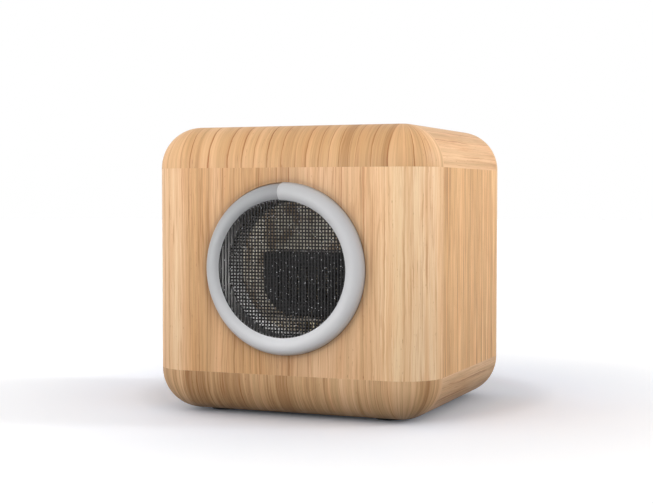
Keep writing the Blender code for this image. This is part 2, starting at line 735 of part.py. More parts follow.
def make_usb_receptacle():
    """A receptacle whose mouth stands behind the back panel's plug opening."""
    mouth = POCKET_FLOOR_Y - CLEARANCE
    half = USB_WIDTH / 2
    low = (-half, mouth - USB_LENGTH, USB_Z - USB_HEIGHT / 2)
    shell = block("usb_c_receptacle", low, (half, mouth, USB_Z + USB_HEIGHT / 2), "steel")
    round_long_edges(shell, USB_CORNER)
    bore_half, bore_high = half - USB_SHELL, USB_HEIGHT / 2 - USB_SHELL
    bore_back = mouth - USB_MOUTH_DEPTH
    bore = block(
        "usb_bore",
        (-bore_half, bore_back, USB_Z - bore_high),
        (bore_half, mouth + USB_SHELL, USB_Z + bore_high),
    )
    round_long_edges(bore, USB_CORNER - USB_SHELL)
    half_width, half_thickness = USB_TONGUE_WIDTH / 2, USB_TONGUE_THICKNESS / 2
    tongue = block(
        "usb_tongue",
        (-half_width, bore_back - USB_SHELL, USB_Z - half_thickness),
        (half_width, bore_back + USB_TONGUE_LENGTH, USB_Z + half_thickness),
    )
    cut(shell, bore)
    unite(shell, tongue)


def make_button():
    """The button, its plunger and the switch body, about an axis with +Z out of the back."""
    axis = add_empty("button_axis", (BUTTON_SPACING, BACK_Y, SWITCH_Z), (-math.pi / 2, 0, 0))
    flange_top, flange_bottom = FLANGE_BACK_Y - BACK_Y, FLANGE_FRONT_Y - BACK_Y
    profile = [
        (0, BUTTON_PROUD),
        (BUTTON_RADIUS - BUTTON_EDGE, BUTTON_PROUD),
        (BUTTON_RADIUS, BUTTON_PROUD - BUTTON_EDGE),
        (BUTTON_RADIUS, flange_top),
        (BUTTON_FLANGE_RADIUS, flange_top),
        (BUTTON_FLANGE_RADIUS, flange_bottom),
        (0, flange_bottom),
    ]
    turned("push_button", profile, "grey_plastic", axis, 2 * ROUND_STEPS)
    plunger_top = flange_bottom - STACK_GAP
    plunger_end = plunger_top - PLUNGER_REACH - PLUNGER_SHAFT
    rod("switch_plunger", PLUNGER_RADIUS, plunger_top, plunger_end, "black_plastic", axis)
    half, low_z = SWITCH_WIDTH / 2, MAIN_BOARD_TOP + STACK_GAP
    switch = block(
        "tact_switch",
        (BUTTON_SPACING - half, SWITCH_BACK_Y - SWITCH_DEPTH, low_z),
        (BUTTON_SPACING + half, SWITCH_BACK_Y, low_z + SWITCH_HEIGHT),
        "steel",
    )
    bore_end = plunger_end - BUTTON_TRAVEL - CLEARANCE
    bore = rod("plunger_bore", PLUNGER_RADIUS + STACK_GAP, plunger_top, bore_end, None, axis)
    cut(switch, bore)
    return axis


def cut_back_panel(back_panel, button_axis):
    """The plug opening, the button hole and the pocket milled from inside."""
    half, high = PORT_WIDTH / 2, PORT_HEIGHT / 2
    opening = block(
        "plug_opening",
        (-half, CAVITY_BACK_Y - CLEARANCE, USB_Z - high),
        (half, BACK_Y + CLEARANCE, USB_Z + high),
    )
    round_long_edges(opening, PORT_CORNER)
    pocket = block(
        "pocket",
        (POCKET_LEFT_X, CAVITY_BACK_Y - CLEARANCE, POCKET_LOW_Z),
        (POCKET_RIGHT_X, POCKET_FLOOR_Y, POCKET_HIGH_Z),
    )
    round_long_edges(pocket, POCKET_CORNER)
    hole = rod(
        "button_hole",
        BUTTON_RADIUS + CLEARANCE,
        CLEARANCE,
        -BOARD_THICKNESS - CLEARANCE,
        None,
        button_axis,
        2 * ROUND_STEPS,
    )
    cut(back_panel, opening, pocket, hole)


# Lead from the LED board to the main board


def lead_point(share, start, end):
    """A point on the lead, which leaves one plug backwards and enters the other from above."""
    turn = share * math.pi / 2
    run, drop = end[1] - start[1], end[2] - start[2]
    across = start[0] + (end[0] - start[0]) * (1 - math.cos(math.pi * share)) / 2
    return across, start[1] + run * math.sin(turn), start[2] + drop * (1 - math.cos(turn))


def make_lead():
    """Two plugs and the lead between them, kept behind the right-hand side of the ring."""
    radius = LED_BOARD_OUTER - PLUG_WIDTH / 2
    x = RING_SIDE + radius * math.cos(LEAD_ANGLE)
    z = RING_Z + radius * math.sin(LEAD_ANGLE)
    plug_front = LED_BOARD_BACK_Y + STACK_GAP
    half, high = PLUG_WIDTH / 2, PLUG_HEIGHT / 2
    plug_back = plug_front + PLUG_DEPTH
    block("led_plug", (x - half, plug_front, z - high), (x + half, plug_back, z + high), "black_plastic")
    low = MAIN_BOARD_TOP + STACK_GAP
    deep = PLUG_DEPTH / 2
    end_x, end_y = MAIN_BOARD_HALF - half, SENSOR_BOARD_BACK_Y + BOARD_PLUG_GAP + deep
    top = low + PLUG_HEIGHT
    block(
        "board_plug",
        (end_x - half, end_y - deep, low),
        (end_x + half, end_y + deep, top),
        "black_plastic",
    )
    start, end = (x, plug_back + CLEARANCE, z), (end_x, end_y, top + CLEARANCE)
    curve = bpy.data.curves.new("led_lead", "CURVE")
    curve.dimensions = "3D"
    curve.bevel_depth = LEAD_RADIUS
    curve.bevel_resolution = 2
    curve.use_fill_caps = True
    spline = curve.splines.new("POLY")
    spline.points.add(LEAD_POINTS - 1)
    for number, point in enumerate(spline.points):
        point.co = (*lead_point(number / (LEAD_POINTS - 1), start, end), 1)
    add_object("led_lead", curve, "lead_cover")


# Bottom panel's fasteners and feet


def case_screw_profile(length):
    """A countersunk screw with its flat head at the top."""
    return [
        (0, 0),
        (CASE_SCREW_HEAD, 0),
        (CASE_SCREW_RADIUS, CASE_SCREW_RADIUS - CASE_SCREW_HEAD),
        (CASE_SCREW_RADIUS, CASE_SCREW_POINT - length),
        (0, -length),
    ]


def countersink_profile(depth):
    """The hole for such a screw, from outside the panel's face to the end of its point."""
    wide, narrow = CASE_SCREW_HEAD + PILOT_GAP, CASE_SCREW_RADIUS + PILOT_GAP
    return [
        (0, CLEARANCE),
        (wide, CLEARANCE),
        (wide, -HEAD_RECESS),
        (narrow, narrow - wide - HEAD_RECESS),
        (narrow, -depth),
        (0, -depth),
    ]


def make_bottom_fasteners(bottom_panel):
    """At each corner a glued block inside, a screw from below and a foot over its head."""
    length = BOARD_THICKNESS - HEAD_RECESS + CASE_SCREW_BITE
    foot_top = BASE_Z - GLUE_LINE
    foot_profile = [(0, foot_top), (FOOT_RADIUS, foot_top), (FOOT_RADIUS, foot_top / 2)]
    foot_profile += [(FOOT_RADIUS - foot_top / 2, 0), (0, 0)]
    for number, (name, (side, end)) in enumerate(CORNERS.items(), 1):
        x, y = side * BLOCK_X, MIDDLE_Y + end * BLOCK_Y
        half = BLOCK_SIZE / 2
        low = FLOOR_Z + GLUE_LINE
        corner = block(
            f"corner_block_{name}",
            (x - half, y - half, low),
            (x + half, y + half, low + BLOCK_HEIGHT),
            "oak",
        )
        screw = turned(f"case_screw_{number}", case_screw_profile(length), "steel", None, SMALL_STEPS)
        depth = length + HEAD_RECESS + CLEARANCE
        hole = turned(f"case_screw_{number}_hole", countersink_profile(depth), None, None, SMALL_STEPS)
        for obj, place in ((screw, BASE_Z + HEAD_RECESS), (hole, BASE_Z)):
            obj.location = (x, y, place)
            obj.rotation_euler.x = math.pi
        cut(bottom_panel, hole)
        cut(corner, hole)
        turned(f"foot_{number}", foot_profile, "rubber").location = (x, y, 0)


def main():
    boards = make_case()
    make_ring_light(boards["front_panel"])
    make_sensor_housing()
    make_sensors()
    main_board = make_main_board()
    make_standoffs(main_board, boards["bottom_panel"])
    make_processor_module()
    make_usb_receptacle()
    cut_back_panel(boards["back_panel"], make_button())
    make_lead()
    make_bottom_fasteners(boards["bottom_panel"])


main()
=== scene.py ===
# The looks of a desk carbon dioxide monitor.
#
# Six oak boards make the case. A ring light stands in the front board, with two wire grilles in
# its bore and a slotted sensor cover behind them. Sizes are in metres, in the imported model's frame:
# +Z up, the front facing -Y. Patterns on the oak are in millimetres of the board's own grain map.

import json
import logging
import math
from collections.abc import Callable, Iterable, Mapping, Sequence
from dataclasses import dataclass, replace
from enum import Enum
from functools import cache
from typing import Any, Protocol

import bmesh
import bpy
from bmesh.types import BMEdge, BMesh, BMFace, BMLayerItem, BMVert
from mathutils import Matrix, Vector


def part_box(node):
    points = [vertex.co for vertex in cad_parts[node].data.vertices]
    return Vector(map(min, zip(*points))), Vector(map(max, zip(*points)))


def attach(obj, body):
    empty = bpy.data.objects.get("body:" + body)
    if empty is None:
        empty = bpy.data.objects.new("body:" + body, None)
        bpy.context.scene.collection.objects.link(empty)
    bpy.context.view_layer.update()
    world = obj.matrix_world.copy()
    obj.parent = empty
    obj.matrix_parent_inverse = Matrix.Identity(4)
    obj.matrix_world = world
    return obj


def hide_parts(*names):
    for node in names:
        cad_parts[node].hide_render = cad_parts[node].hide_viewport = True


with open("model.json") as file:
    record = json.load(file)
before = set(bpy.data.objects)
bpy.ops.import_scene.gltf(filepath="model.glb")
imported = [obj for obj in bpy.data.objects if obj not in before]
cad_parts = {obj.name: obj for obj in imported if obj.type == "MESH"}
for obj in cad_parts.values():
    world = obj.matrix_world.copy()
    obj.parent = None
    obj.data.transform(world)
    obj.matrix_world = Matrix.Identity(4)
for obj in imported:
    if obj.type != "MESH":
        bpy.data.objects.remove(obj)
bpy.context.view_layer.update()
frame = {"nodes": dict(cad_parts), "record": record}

LOG = logging.getLogger("monitor")
MILLIMETRES = 1000.0
TINY = 1e-6
WELD = 1e-7  # the distance within which vertices are merged
ALIGNED = 0.99  # the cosine past which two directions count as one
MOSTLY = 0.7  # the cosine past which a face looks mostly along an axis
FACING_FRONT = Matrix.Rotation(math.pi / 2, 4, "X")  # turns +Z to the front, -Y
FACING_BACK = Matrix.Rotation(-math.pi / 2, 4, "X")
OUTLINE_STEPS = 6  # the edges round each corner of a rounded outline
SOFT_STEPS = 2  # the faces round an edge that is only softened
ROUND_STEPS = 64  # the steps round a small turned piece
GRAIN_MAP = "grain"
CLOCK = "clock"
UNOILED = "unoiled"

Colour = tuple[float, float, float]
Pair = tuple[float, float]
Pairs = tuple[Pair, ...]
Stops = Sequence[tuple[float, Colour | float]]


# Shader expressions


class Value:
    """A number, colour or vector on its way through a material. Arithmetic adds Math nodes."""

    def __init__(self, graph: "Graph", node: bpy.types.Node, output: int | str = 0) -> None:
        """Keeps a node's output.

        Args:
            graph: The material's graph.
            node: The node that gives the value. One that ends a graph gives none.
            output: The index or name of its output.
        """
        self.graph = graph
        self.node = node
        self.socket = node.outputs[output] if node.outputs else None

    def output(self, which: int | str) -> "Value":
        """Another output of the same node."""
        return Value(self.graph, self.node, which)

    def math(self, operation: str, *terms: "Value | float") -> "Value":
        """A Math node on this value.

        Args:
            operation: The Math node's operation.
            terms: The values of its sockets, in order.

        Returns:
            The result.
        """
        return self.graph.node("ShaderNodeMath", {"operation": operation}, dict(enumerate(terms)))

    def __add__(self, other: "Value | float") -> "Value":
        """This value plus another."""
        return self.math("ADD", self, other)

    __radd__ = __add__

    def __sub__(self, other: "Value | float") -> "Value":
        """This value minus another."""
        return self.math("SUBTRACT", self, other)

    def __rsub__(self, other: float) -> "Value":
        """A number minus this value."""
        return self.math("SUBTRACT", other, self)

    def __mul__(self, other: "Value | float") -> "Value":
        """This value times another."""
        return self.math("MULTIPLY", self, other)

    __rmul__ = __mul__

    def __truediv__(self, other: "Value | float") -> "Value":
        """This value divided by another."""
        return self.math("DIVIDE", self, other)

    def fraction(self) -> "Value":
        """What is left of this value past its whole number."""
        return self.math("FRACT", self)

    def size(self) -> "Value":
        """This value without its sign."""
        return self.math("ABSOLUTE", self)

    def step(self, start: float, end: float) -> "Value":
        """A smooth step of this value.

        Args:
            start: Where the result is 0.
            end: Where the result is 1, which may lie below the start.

        Returns:
            The step, from 0 to 1.
        """
        settings = {"interpolation_type": "SMOOTHSTEP"}
        return self.graph.node("ShaderNodeMapRange", settings, {0: self, 1: start, 2: end})

    def spread(self, low: float, high: float) -> "Value":
        """This value stretched so that low becomes 0 and high becomes 1, and clamped."""
        return self.graph.node("ShaderNodeMapRange", None, {0: self, 1: low, 2: high})

    def through(self, places: Pairs) -> "Value":
        """A value that is given at some places of this one, and runs straight between them.

        Args:
            places: Pairs of this value, rising, and the result there.

        Returns:
            The result.
        """
        low, high = places[0][0], places[-1][0]
        stops = [((place - low) / (high - low), result) for place, result in places]
        found = self.graph.ramp(self.spread(low, high), stops)
        return self.graph.node("ShaderNodeSeparateColor", None, {0: found})


class Graph:
    """A material or world under construction. Its nodes all come from the node method."""

    def __init__(self, owner: bpy.types.Material | bpy.types.World) -> None:
        """Empties a node tree.

        Args:
            owner: The material or world whose tree it is.
        """
        owner.use_nodes = True
        self.tree = owner.node_tree
        self.tree.nodes.clear()

    def node(
        self,
        kind: str,
        settings: Mapping[str, Any] | None = None,
        sockets: Mapping[int | str, Any] | None = None,
        output: int | str = 0,
    ) -> Value:
        """Adds a node.

        Args:
            kind: The node's type.
            settings: Its properties, which are set first. "stops" are a ramp's stops.
            sockets: Numbers, colours, vectors or links, by the socket's index or name.
            output: The output that the result stands for.

        Returns:
            The node's output.
        """
        made = self.tree.nodes.new(kind)
        for name, setting in (settings or {}).items():
            if name == "stops":
                set_stops(made.color_ramp, setting)
            else:
                setattr(made, name, setting)
        for name, given in (sockets or {}).items():
            socket = made.inputs[name]
            if isinstance(given, Value):
                self.tree.links.new(given.socket, socket)
            elif socket.type == "RGBA":
                socket.default_value = (*given, 1.0)
            else:
                socket.default_value = given
        return Value(self, made, output)

    def ramp(self, factor: Value, stops: Stops) -> Value:
        """A colour ramp over a value from 0 to 1, with colours or greys at its stops."""
        return self.node("ShaderNodeValToRGB", {"stops": stops}, {0: factor})

    def mix(
        self, factor: Value | float, first: Value | Colour, second: Value | Colour, way: str = "MIX"
    ) -> Value:
        """A mix of two colours.

        Args:
            factor: The share of the second colour.
            first: The colour underneath.
            second: The colour on top.
            way: The blend type.

        Returns:
            The mixed colour.
        """
        settings = {"data_type": "RGBA", "blend_type": way}
        return self.node("ShaderNodeMix", settings, {0: factor, 6: first, 7: second}, 2)

    def vector(self, x: Value | float, y: Value | float, z: Value | float) -> Value:
        """A vector of three values."""
        return self.node("ShaderNodeCombineXYZ", None, {0: x, 1: y, 2: z})

    def noise(self, place: Value, detail: float = 2.0, rough: float = 0.5) -> Value:
        """Noise of unit scale at a place, from 0 to 1 round a middle of 0.5."""
        sockets = {"Vector": place, "Scale": 1.0, "Detail": detail, "Roughness": rough}
        return self.node("ShaderNodeTexNoise", None, sockets)

    def cells(self, place: Value, scatter: float, **settings: str) -> Value:
        """The distance to the middle or edge of a Voronoi cell of unit scale.

        Args:
            place: The place.
            scatter: How unevenly the cells lie, from 0 to 1.
            settings: The node's properties.

        Returns:
            The distance.
        """
        sockets = {"Vector": place, "Scale": 1.0, "Randomness": scatter}
        return self.node("ShaderNodeTexVoronoi", settings, sockets)

    def distance(self, place: Value, point: Sequence[float]) -> Value:
        """How far a place lies from a point."""
        sockets = {0: place, 1: point}
        return self.node("ShaderNodeVectorMath", {"operation": "DISTANCE"}, sockets, "Value")

    def object_place(self, scale: float) -> Value:
        """The place in the object's own coordinates, times a scale."""
        place = self.node("ShaderNodeTexCoord", output="Object")
        return self.node("ShaderNodeVectorMath", {"operation": "SCALE"}, {0: place, "Scale": scale})

    def bump(self, height: Value, depth: float, strength: float = 1.0) -> Value:
        """The surface normal after a bump.

        Args:
            height: The height, from 0 to 1.
            depth: The height of 1, in metres.
            strength: How much of the bump shows.

        Returns:
            The normal.
        """
        sockets = {"Strength": strength, "Distance": depth, "Height": height}
        return self.node("ShaderNodeBump", None, sockets)

    def surface(self, **sockets: Any) -> None:
        """Ends the material in a Principled shader.

        Args:
            sockets: The shader's sockets, named with underscores for spaces.
        """
        named = {name.replace("_", " "): given for name, given in sockets.items()}
        shader = self.node("ShaderNodeBsdfPrincipled", None, named)
        self.node("ShaderNodeOutputMaterial", None, {"Surface": shader})


def set_stops(ramp: bpy.types.ColorRamp, stops: Stops) -> None:
    """Fills a colour ramp.

    Args:
        ramp: The ramp, with its two first stops.
        stops: The stops that it is to have.
    """
    while len(ramp.elements) < len(stops):
        ramp.elements.new(1.0)
    for element, (place, colour) in zip(ramp.elements, stops):
        element.position = place
        element.color = (*colour, 1.0) if isinstance(colour, tuple) else (colour,) * 3 + (1.0,)


def screen(red: int, green: int, blue: int) -> Colour:
    """A colour given as screen values up to 255, in the linear values that shaders take."""
    shares = (value / 255 for value in (red, green, blue))
    return tuple(s / 12.92 if s < 0.04045 else ((s + 0.055) / 1.055) ** 2.4 for s in shares)


# Finishes


class Finish(Protocol):
    """What every finish has: a name, and a way to build its material.

    Attributes:
        name: The material's name.
    """

    name: str

    def build(self, graph: Graph) -> None:
        """Adds the finish's nodes to an empty graph."""


@cache
def material_of(finish: Finish) -> bpy.types.Material:
    """The finish's material, built the first time that it is asked for.

    Args:
        finish: The finish.

    Returns:
        Its material.
    """
    material = bpy.data.materials.new(finish.name)
    finish.build(Graph(material))
    return material


@dataclass(frozen=True)
class Wave:
    """Noise that is stretched along the grain.

    Attributes:
        across: How many of its waves lie in a millimetre across the grain.
        along: How many lie in a millimetre along the grain.
        part: Moves it away from the board's other waves.
        share: How much it counts in a sum of waves.
        detail: The noise's detail.
        rough: The noise's roughness.
        fade: The heights, or the distances from its middle, where its mask is 0 and 1.
    """

    across: float
    along: float
    part: float
    share: float = 1.0
    detail: float = 1.0
    rough: float = 0.5
    fade: Pair = (0.0, 1.0)


@dataclass(frozen=True)
class Grain:
    """A place on a board's grain map, as its material reads it.

    Attributes:
        graph: The material's graph.
        across: The place across the grain.
        along: The place along the grain.
        seed: Moves the pattern to another part of the tree.
    """

    graph: Graph
    across: Value
    along: Value
    seed: float

    def wave(self, wave: Wave) -> Value:
        """The height of a wave.

        Args:
            wave: The wave.

        Returns:
            Its height, from 0 to 1 round a middle of 0.5.
        """
        across, along = self.across * wave.across, self.along * wave.along
        place = self.graph.vector(across, along, self.seed + wave.part)
        return self.graph.noise(place, wave.detail, wave.rough)

    def mask(self, wave: Wave) -> Value:
        """Where a wave stands high, from 0 to 1."""
        return self.wave(wave).step(*wave.fade)

    def lines(self, wave: Wave) -> Value:
        """The thin lines along which a wave passes its middle, from 0 to 1."""
        return (self.wave(wave) - 0.5).size().step(*wave.fade)

    def sum_of(self, waves: Sequence[Wave]) -> Value:
        """The sum of waves, each times its share, round a middle of 0."""
        first, *others = ((self.wave(wave) - 0.5) * wave.share for wave in waves)
        return sum(others, first)


BENDS = (Wave(0.06, 0.02, 0, 2.0), Wave(0.3, 0.09, 3, 0.9), Wave(0.8, 0.3, 5, 0.5))
FIBRES = (
    Wave(0.28, 0.006, 11, 0.9),
    Wave(0.8, 0.012, 13, 1.5),
    Wave(1.8, 0.03, 17, 1.9, detail=2.0, rough=0.6),
    Wave(4.5, 0.08, 21, 0.9),
)
THREADS = Wave(3.2, 0.05, 23, detail=2.0)
BLUSH = Wave(0.2, 0.02, 29, fade=(0.45, 0.75))
LONG_PORES = Wave(2.6, 0.12, 31, fade=(0.64, 0.78))
SHORT_PORES = Wave(2.2, 0.5, 37, fade=(0.66, 0.78))
PORE_STRIPES = Wave(0.3, 0.01, 41, fade=(0.48, 0.6))
STREAKS = Wave(0.5, 0.008, 43, fade=(0.03, 0.006))
FINER_STREAKS = Wave(0.9, 0.014, 47, fade=(0.035, 0.01))
STREAK_STRENGTH = Wave(0.2, 0.05, 53, fade=(0.35, 0.6))
FINER_STREAK_FADE = (0.65, 0.4)
RING_STRENGTH = Wave(7.3, 0.03, 0, fade=(0.2, 0.7))
RING_LINE_FADE = (0.25, 0.65)
RING_LINE_RISE = (0.88, 0.97)
RING_LINE_FALL = (1.0, 0.985)


@dataclass(frozen=True)
class Oak:
    """Oiled oak. Its stripes follow the board's grain map: x across the grain, y along it.

    Attributes:
        name: The material's name.
        seed: Moves the pattern to another part of the tree.
        bands: Tones from 0, brown, to 1, cream, at places across the board in millimetres.
        rings: The places of the growth rings across the board, in millimetres.
        ring_share: How much the tone falls from one growth ring to the next.
        line_depth: How dark the line on each growth ring is.
        streak_depth: How dark the thin lines between them are.
        fibre_share: How much the fine fibres change the tone.
        pore_depth: How dark the pores are.
        blush_depth: How strong the warmer patches are.
        ripple: How far the stripes wander, in millimetres.
        tint: A colour that the whole board is multiplied by.
        pallor: How pale and cool the wood is across the board, from -1, which is rich and warm.
        ring_shade_place: The X, Z and radius of a ring round which shade is painted on the wood, in
            millimetres.
        roughness: Its usual roughness.
        specular: The shader's specular level.
        relief: The depth of its grain in metres, and how much of it shows.
        stain_scale: How many stains lie along a metre of the bare wood inside.
        stain_fade: The noise where a stain starts and is full.
    """

    name: str
    seed: float
    bands: Pairs
    rings: tuple[float, ...]
    ring_share: float = 0.18
    line_depth: float = 0.5
    streak_depth: float = 0.35
    fibre_share: float = 0.35
    pore_depth: float = 0.4
    blush_depth: float = 0.35
    ripple: float = 0.6
    tint: Colour = (1.0, 1.0, 1.0)
    pallor: Pairs = ()
    ring_shade_place: tuple[float, float, float] | None = None
    roughness: float = 0.48
    specular: float = 0.2
    relief: Pair = (0.00002, 0.5)
    stain_scale: float = 120.0
    stain_fade: Pair = (0.46, 0.6)

    def build(self, graph: Graph) -> None:
        """Adds the oak's nodes.

        Args:
            graph: The material's graph.
        """
        place = graph.node("ShaderNodeUVMap", {"uv_map": GRAIN_MAP})
        split = graph.node("ShaderNodeSeparateXYZ", None, {0: place})
        straight = Grain(graph, split, split.output(1), self.seed)
        across = straight.across
        grain = replace(straight, across=across + straight.sum_of(BENDS) * self.ripple)
        rings, line = self.growth_rings(grain)
        tone = across.through(self.bands) - rings * self.ring_share
        tone = tone + grain.sum_of(FIBRES) * self.fibre_share
        line = line * self.line_depth + self.streaks(grain) * self.streak_depth
        pores = self.pores(grain)
        wood = graph.ramp(tone, OAK_TONES)
        shades = [
            (grain.mask(BLUSH) * self.blush_depth, OAK_BLUSH),
            (line, OAK_LINE),
            (pores * self.pore_depth, OAK_PORE),
            (1.0, self.tint),
        ]
        if self.pallor:
            share = across.through([(place, (pale + 1) / 2) for place, pale in self.pallor])
            shades.append((1.0, graph.mix(share, OAK_RICH, OAK_PALE)))
        # Painted shade: darker wood round the ring light, where its shade falls.
        if self.ring_shade_place:
            shades.append((1.0, self.painted_ring_shade(graph)))
        for share, shade in shades:
            wood = graph.mix(share, wood, shade, "MULTIPLY")
        threads = grain.wave(THREADS)
        graph.surface(
            Base_Color=self.dry_inside(graph, wood),
            Roughness=self.roughness + (threads - 0.5) * 0.2 + pores * 0.15,
            Specular_IOR_Level=self.specular,
            Normal=graph.bump(threads * 0.4 - pores * 0.6 - line * 0.2, *self.relief),
        )

    def dry_inside(self, graph: Graph, wood: Value) -> Value:
        """Oiled wood with the bare, stained wood in the case.

        Args:
            graph: The material's graph.
            wood: The colour of the oiled wood.

        Returns:
            The colour of both.
        """
        inside = graph.node("ShaderNodeAttribute", {"attribute_name": UNOILED}, output="Fac")
        stain = graph.noise(graph.object_place(self.stain_scale), 3.0).step(*self.stain_fade)
        return graph.mix(inside, wood, graph.mix(stain, UNOILED_OAK, UNOILED_STAIN))

    def painted_ring_shade(self, graph: Graph) -> Value:
        """Painted shade: the wood made darker round a ring, as shade falls next to the ring light.

        Args:
            graph: The material's graph.

        Returns:
            A grey to multiply the wood by, which paints that shade.
        """
        x, z, radius = self.ring_shade_place
        sockets = {0: graph.object_place(MILLIMETRES), 1: (1.0, 0.0, 1.0)}
        flat = graph.node("ShaderNodeVectorMath", {"operation": "MULTIPLY"}, sockets)
        away = graph.distance(flat, (x, 0.0, z)) - radius
        return graph.ramp(away.spread(0.0, RING_SHADE_REACH), RING_SHADE)

    def growth_rings(self, grain: Grain) -> tuple[Value, Value]:
        """The growth rings, which lie at chosen places.

        Args:
            grain: The place on the grain map.

        Returns:
            A value that rises from 0 to 1 over each ring, and the dark line that ends it.
        """
        count = len(self.rings) - 1
        places = [(place, index / count) for index, place in enumerate(self.rings)]
        passed = grain.across.through(places) * count
        phase = passed.fraction()
        number = passed.math("FLOOR", passed)
        strength = replace(grain, across=number, seed=0.0).wave(RING_STRENGTH)
        line = phase.step(*RING_LINE_RISE) * phase.step(*RING_LINE_FALL)
        return phase * strength.step(*RING_STRENGTH.fade), line * strength.step(*RING_LINE_FADE)

    def streaks(self, grain: Grain) -> Value:
        """Thin tan lines, which come and go along the grain.

        Args:
            grain: The place on the grain map.

        Returns:
            Their mask, from 0 to 1.
        """
        strength = grain.wave(STREAK_STRENGTH)
        bold = grain.lines(STREAKS) * strength.step(*STREAK_STRENGTH.fade)
        return bold + grain.lines(FINER_STREAKS) * strength.step(*FINER_STREAK_FADE) * 0.6

    def pores(self, grain: Grain) -> Value:
        """Short dark pores, gathered in some of the stripes.

        Args:
            grain: The place on the grain map.

        Returns:
            Their mask, from 0 to 1.
        """
        return grain.mask(LONG_PORES) * 0.6 + grain.mask(SHORT_PORES) * grain.mask(PORE_STRIPES)


OAK_TONES: Stops = (
    (0.0, screen(178, 132, 88)),
    (0.25, screen(204, 160, 113)),
    (0.5, screen(224, 179, 132)),
    (0.75, screen(238, 196, 149)),
    (1.0, screen(250, 217, 173)),
)
OAK_BLUSH = screen(255, 240, 228)
OAK_LINE = screen(196, 145, 99)
OAK_PORE = screen(165, 115, 75)
UNOILED_OAK = screen(184, 179, 168)
UNOILED_STAIN = screen(128, 114, 98)
OAK_RICH = (1.0, 0.955, 0.86)
OAK_PALE = (0.985, 1.015, 1.12)
# Painted shade round the ring light: greys by the distance out from its edge, over the reach below in
# millimetres.
RING_SHADE: Stops = (
    *((0.0, 0.6), (0.08, 0.64), (0.12, 0.68), (0.17, 0.78), (0.22, 0.84)),
    *((0.33, 0.91), (0.45, 0.95), (0.6, 0.98), (1.0, 1.0)),
)
RING_SHADE_REACH = 9.0


@dataclass(frozen=True)
class Moulded:
    """Moulded plastic or rubber, with a fine grain and a slight mottle.

    Attributes:
        name: The material's name.
        colour: Its colour.
        roughness: Its usual roughness.
        grain: The depth of its moulded grain, in metres.
        specular: The shader's specular level.
        mottle_scale: How many of its blotches lie along a metre.
        grain_scale: How many of its grains lie along a metre.
        mottle_shade: How dark the blotches are, as a share of its colour.
        mottle_fade: The noise where a blotch starts and is full.
        mottle_depth: How much of the blotches shows.
        sheen_change: How much its roughness changes with them.
    """

    name: str
    colour: Colour
    roughness: float
    grain: float = 0.00001
    specular: float = 0.5
    mottle_scale: float = 180.0
    grain_scale: float = 2600.0
    mottle_shade: float = 0.86
    mottle_fade: Pair = (0.35, 0.7)
    mottle_depth: float = 0.6
    sheen_change: float = 0.16

    def build(self, graph: Graph) -> None:
        """Adds the plastic's nodes.

        Args:
            graph: The material's graph.
        """
        mottle = graph.noise(graph.object_place(self.mottle_scale), 3.0)
        grain = graph.noise(graph.object_place(self.grain_scale))
        darker = tuple(self.mottle_shade * part for part in self.colour)
        graph.surface(
            Base_Color=graph.mix(
                mottle.step(*self.mottle_fade) * self.mottle_depth, self.colour, darker
            ),
            Roughness=self.roughness + (mottle - 0.5) * self.sheen_change,
            Specular_IOR_Level=self.specular,
            Normal=graph.bump(grain, self.grain),
        )


@dataclass(frozen=True)
class Diffuser:
    """The ring light's milky plastic, whose tone changes clockwise from its rounded start as painted
    glow and painted light.

    Attributes:
        name: The material's name.
        painted_light_tones: Its colours, at shares of the way round clockwise from the top: painted
            light that is brightest at the bottom, and a painted glow that fades from the rounded
            start to the end.
        cloud: The colour of its faint clouds.
        cloud_depth: How much of them shows.
        cloud_scale: How many of them lie along a metre.
        roughness: Its usual roughness.
        sheen_change: How much its roughness changes with the clouds.
        specular: The shader's specular level.
        grain: The depth of its grain, in metres.
        grain_scale: How many of its grains lie along a metre.
    """

    name: str = "ring_diffuser"
    # Painted light and glow: brightest at the bottom, where light from the floor falls, and fading
    # clockwise from the rounded start.
    painted_light_tones: Stops = (
        (0.0, screen(189, 189, 190)),
        (0.12, screen(197, 197, 199)),
        (0.27, screen(207, 207, 209)),
        (0.38, screen(218, 218, 220)),
        (0.5, screen(229, 229, 231)),
        (0.62, screen(212, 212, 214)),
        (0.72, screen(191, 192, 194)),
        (0.8, screen(177, 178, 180)),
        (0.88, screen(166, 167, 169)),
        (0.95, screen(157, 158, 160)),
        (1.0, screen(150, 150, 152)),
    )
    cloud: Colour = screen(190, 192, 200)
    cloud_depth: float = 0.2
    cloud_scale: float = 90.0
    roughness: float = 0.38
    sheen_change: float = 0.1
    specular: float = 0.4
    grain: float = 0.000003
    grain_scale: float = 3000.0

    def build(self, graph: Graph) -> None:
        """Adds the diffuser's nodes.

        Args:
            graph: The material's graph.
        """
        clock = graph.node("ShaderNodeAttribute", {"attribute_name": CLOCK}, output="Fac")
        cloud = graph.noise(graph.object_place(self.cloud_scale)) - 0.5
        grain = graph.noise(graph.object_place(self.grain_scale), 1.0)
        # The tone round the ring paints light and glow.
        tone = graph.ramp(clock, self.painted_light_tones)
        graph.surface(
            Base_Color=graph.mix(cloud * self.cloud_depth, tone, self.cloud),
            Roughness=self.roughness + cloud * self.sheen_change,
            Specular_IOR_Level=self.specular,
            Normal=graph.bump(grain, self.grain),
        )


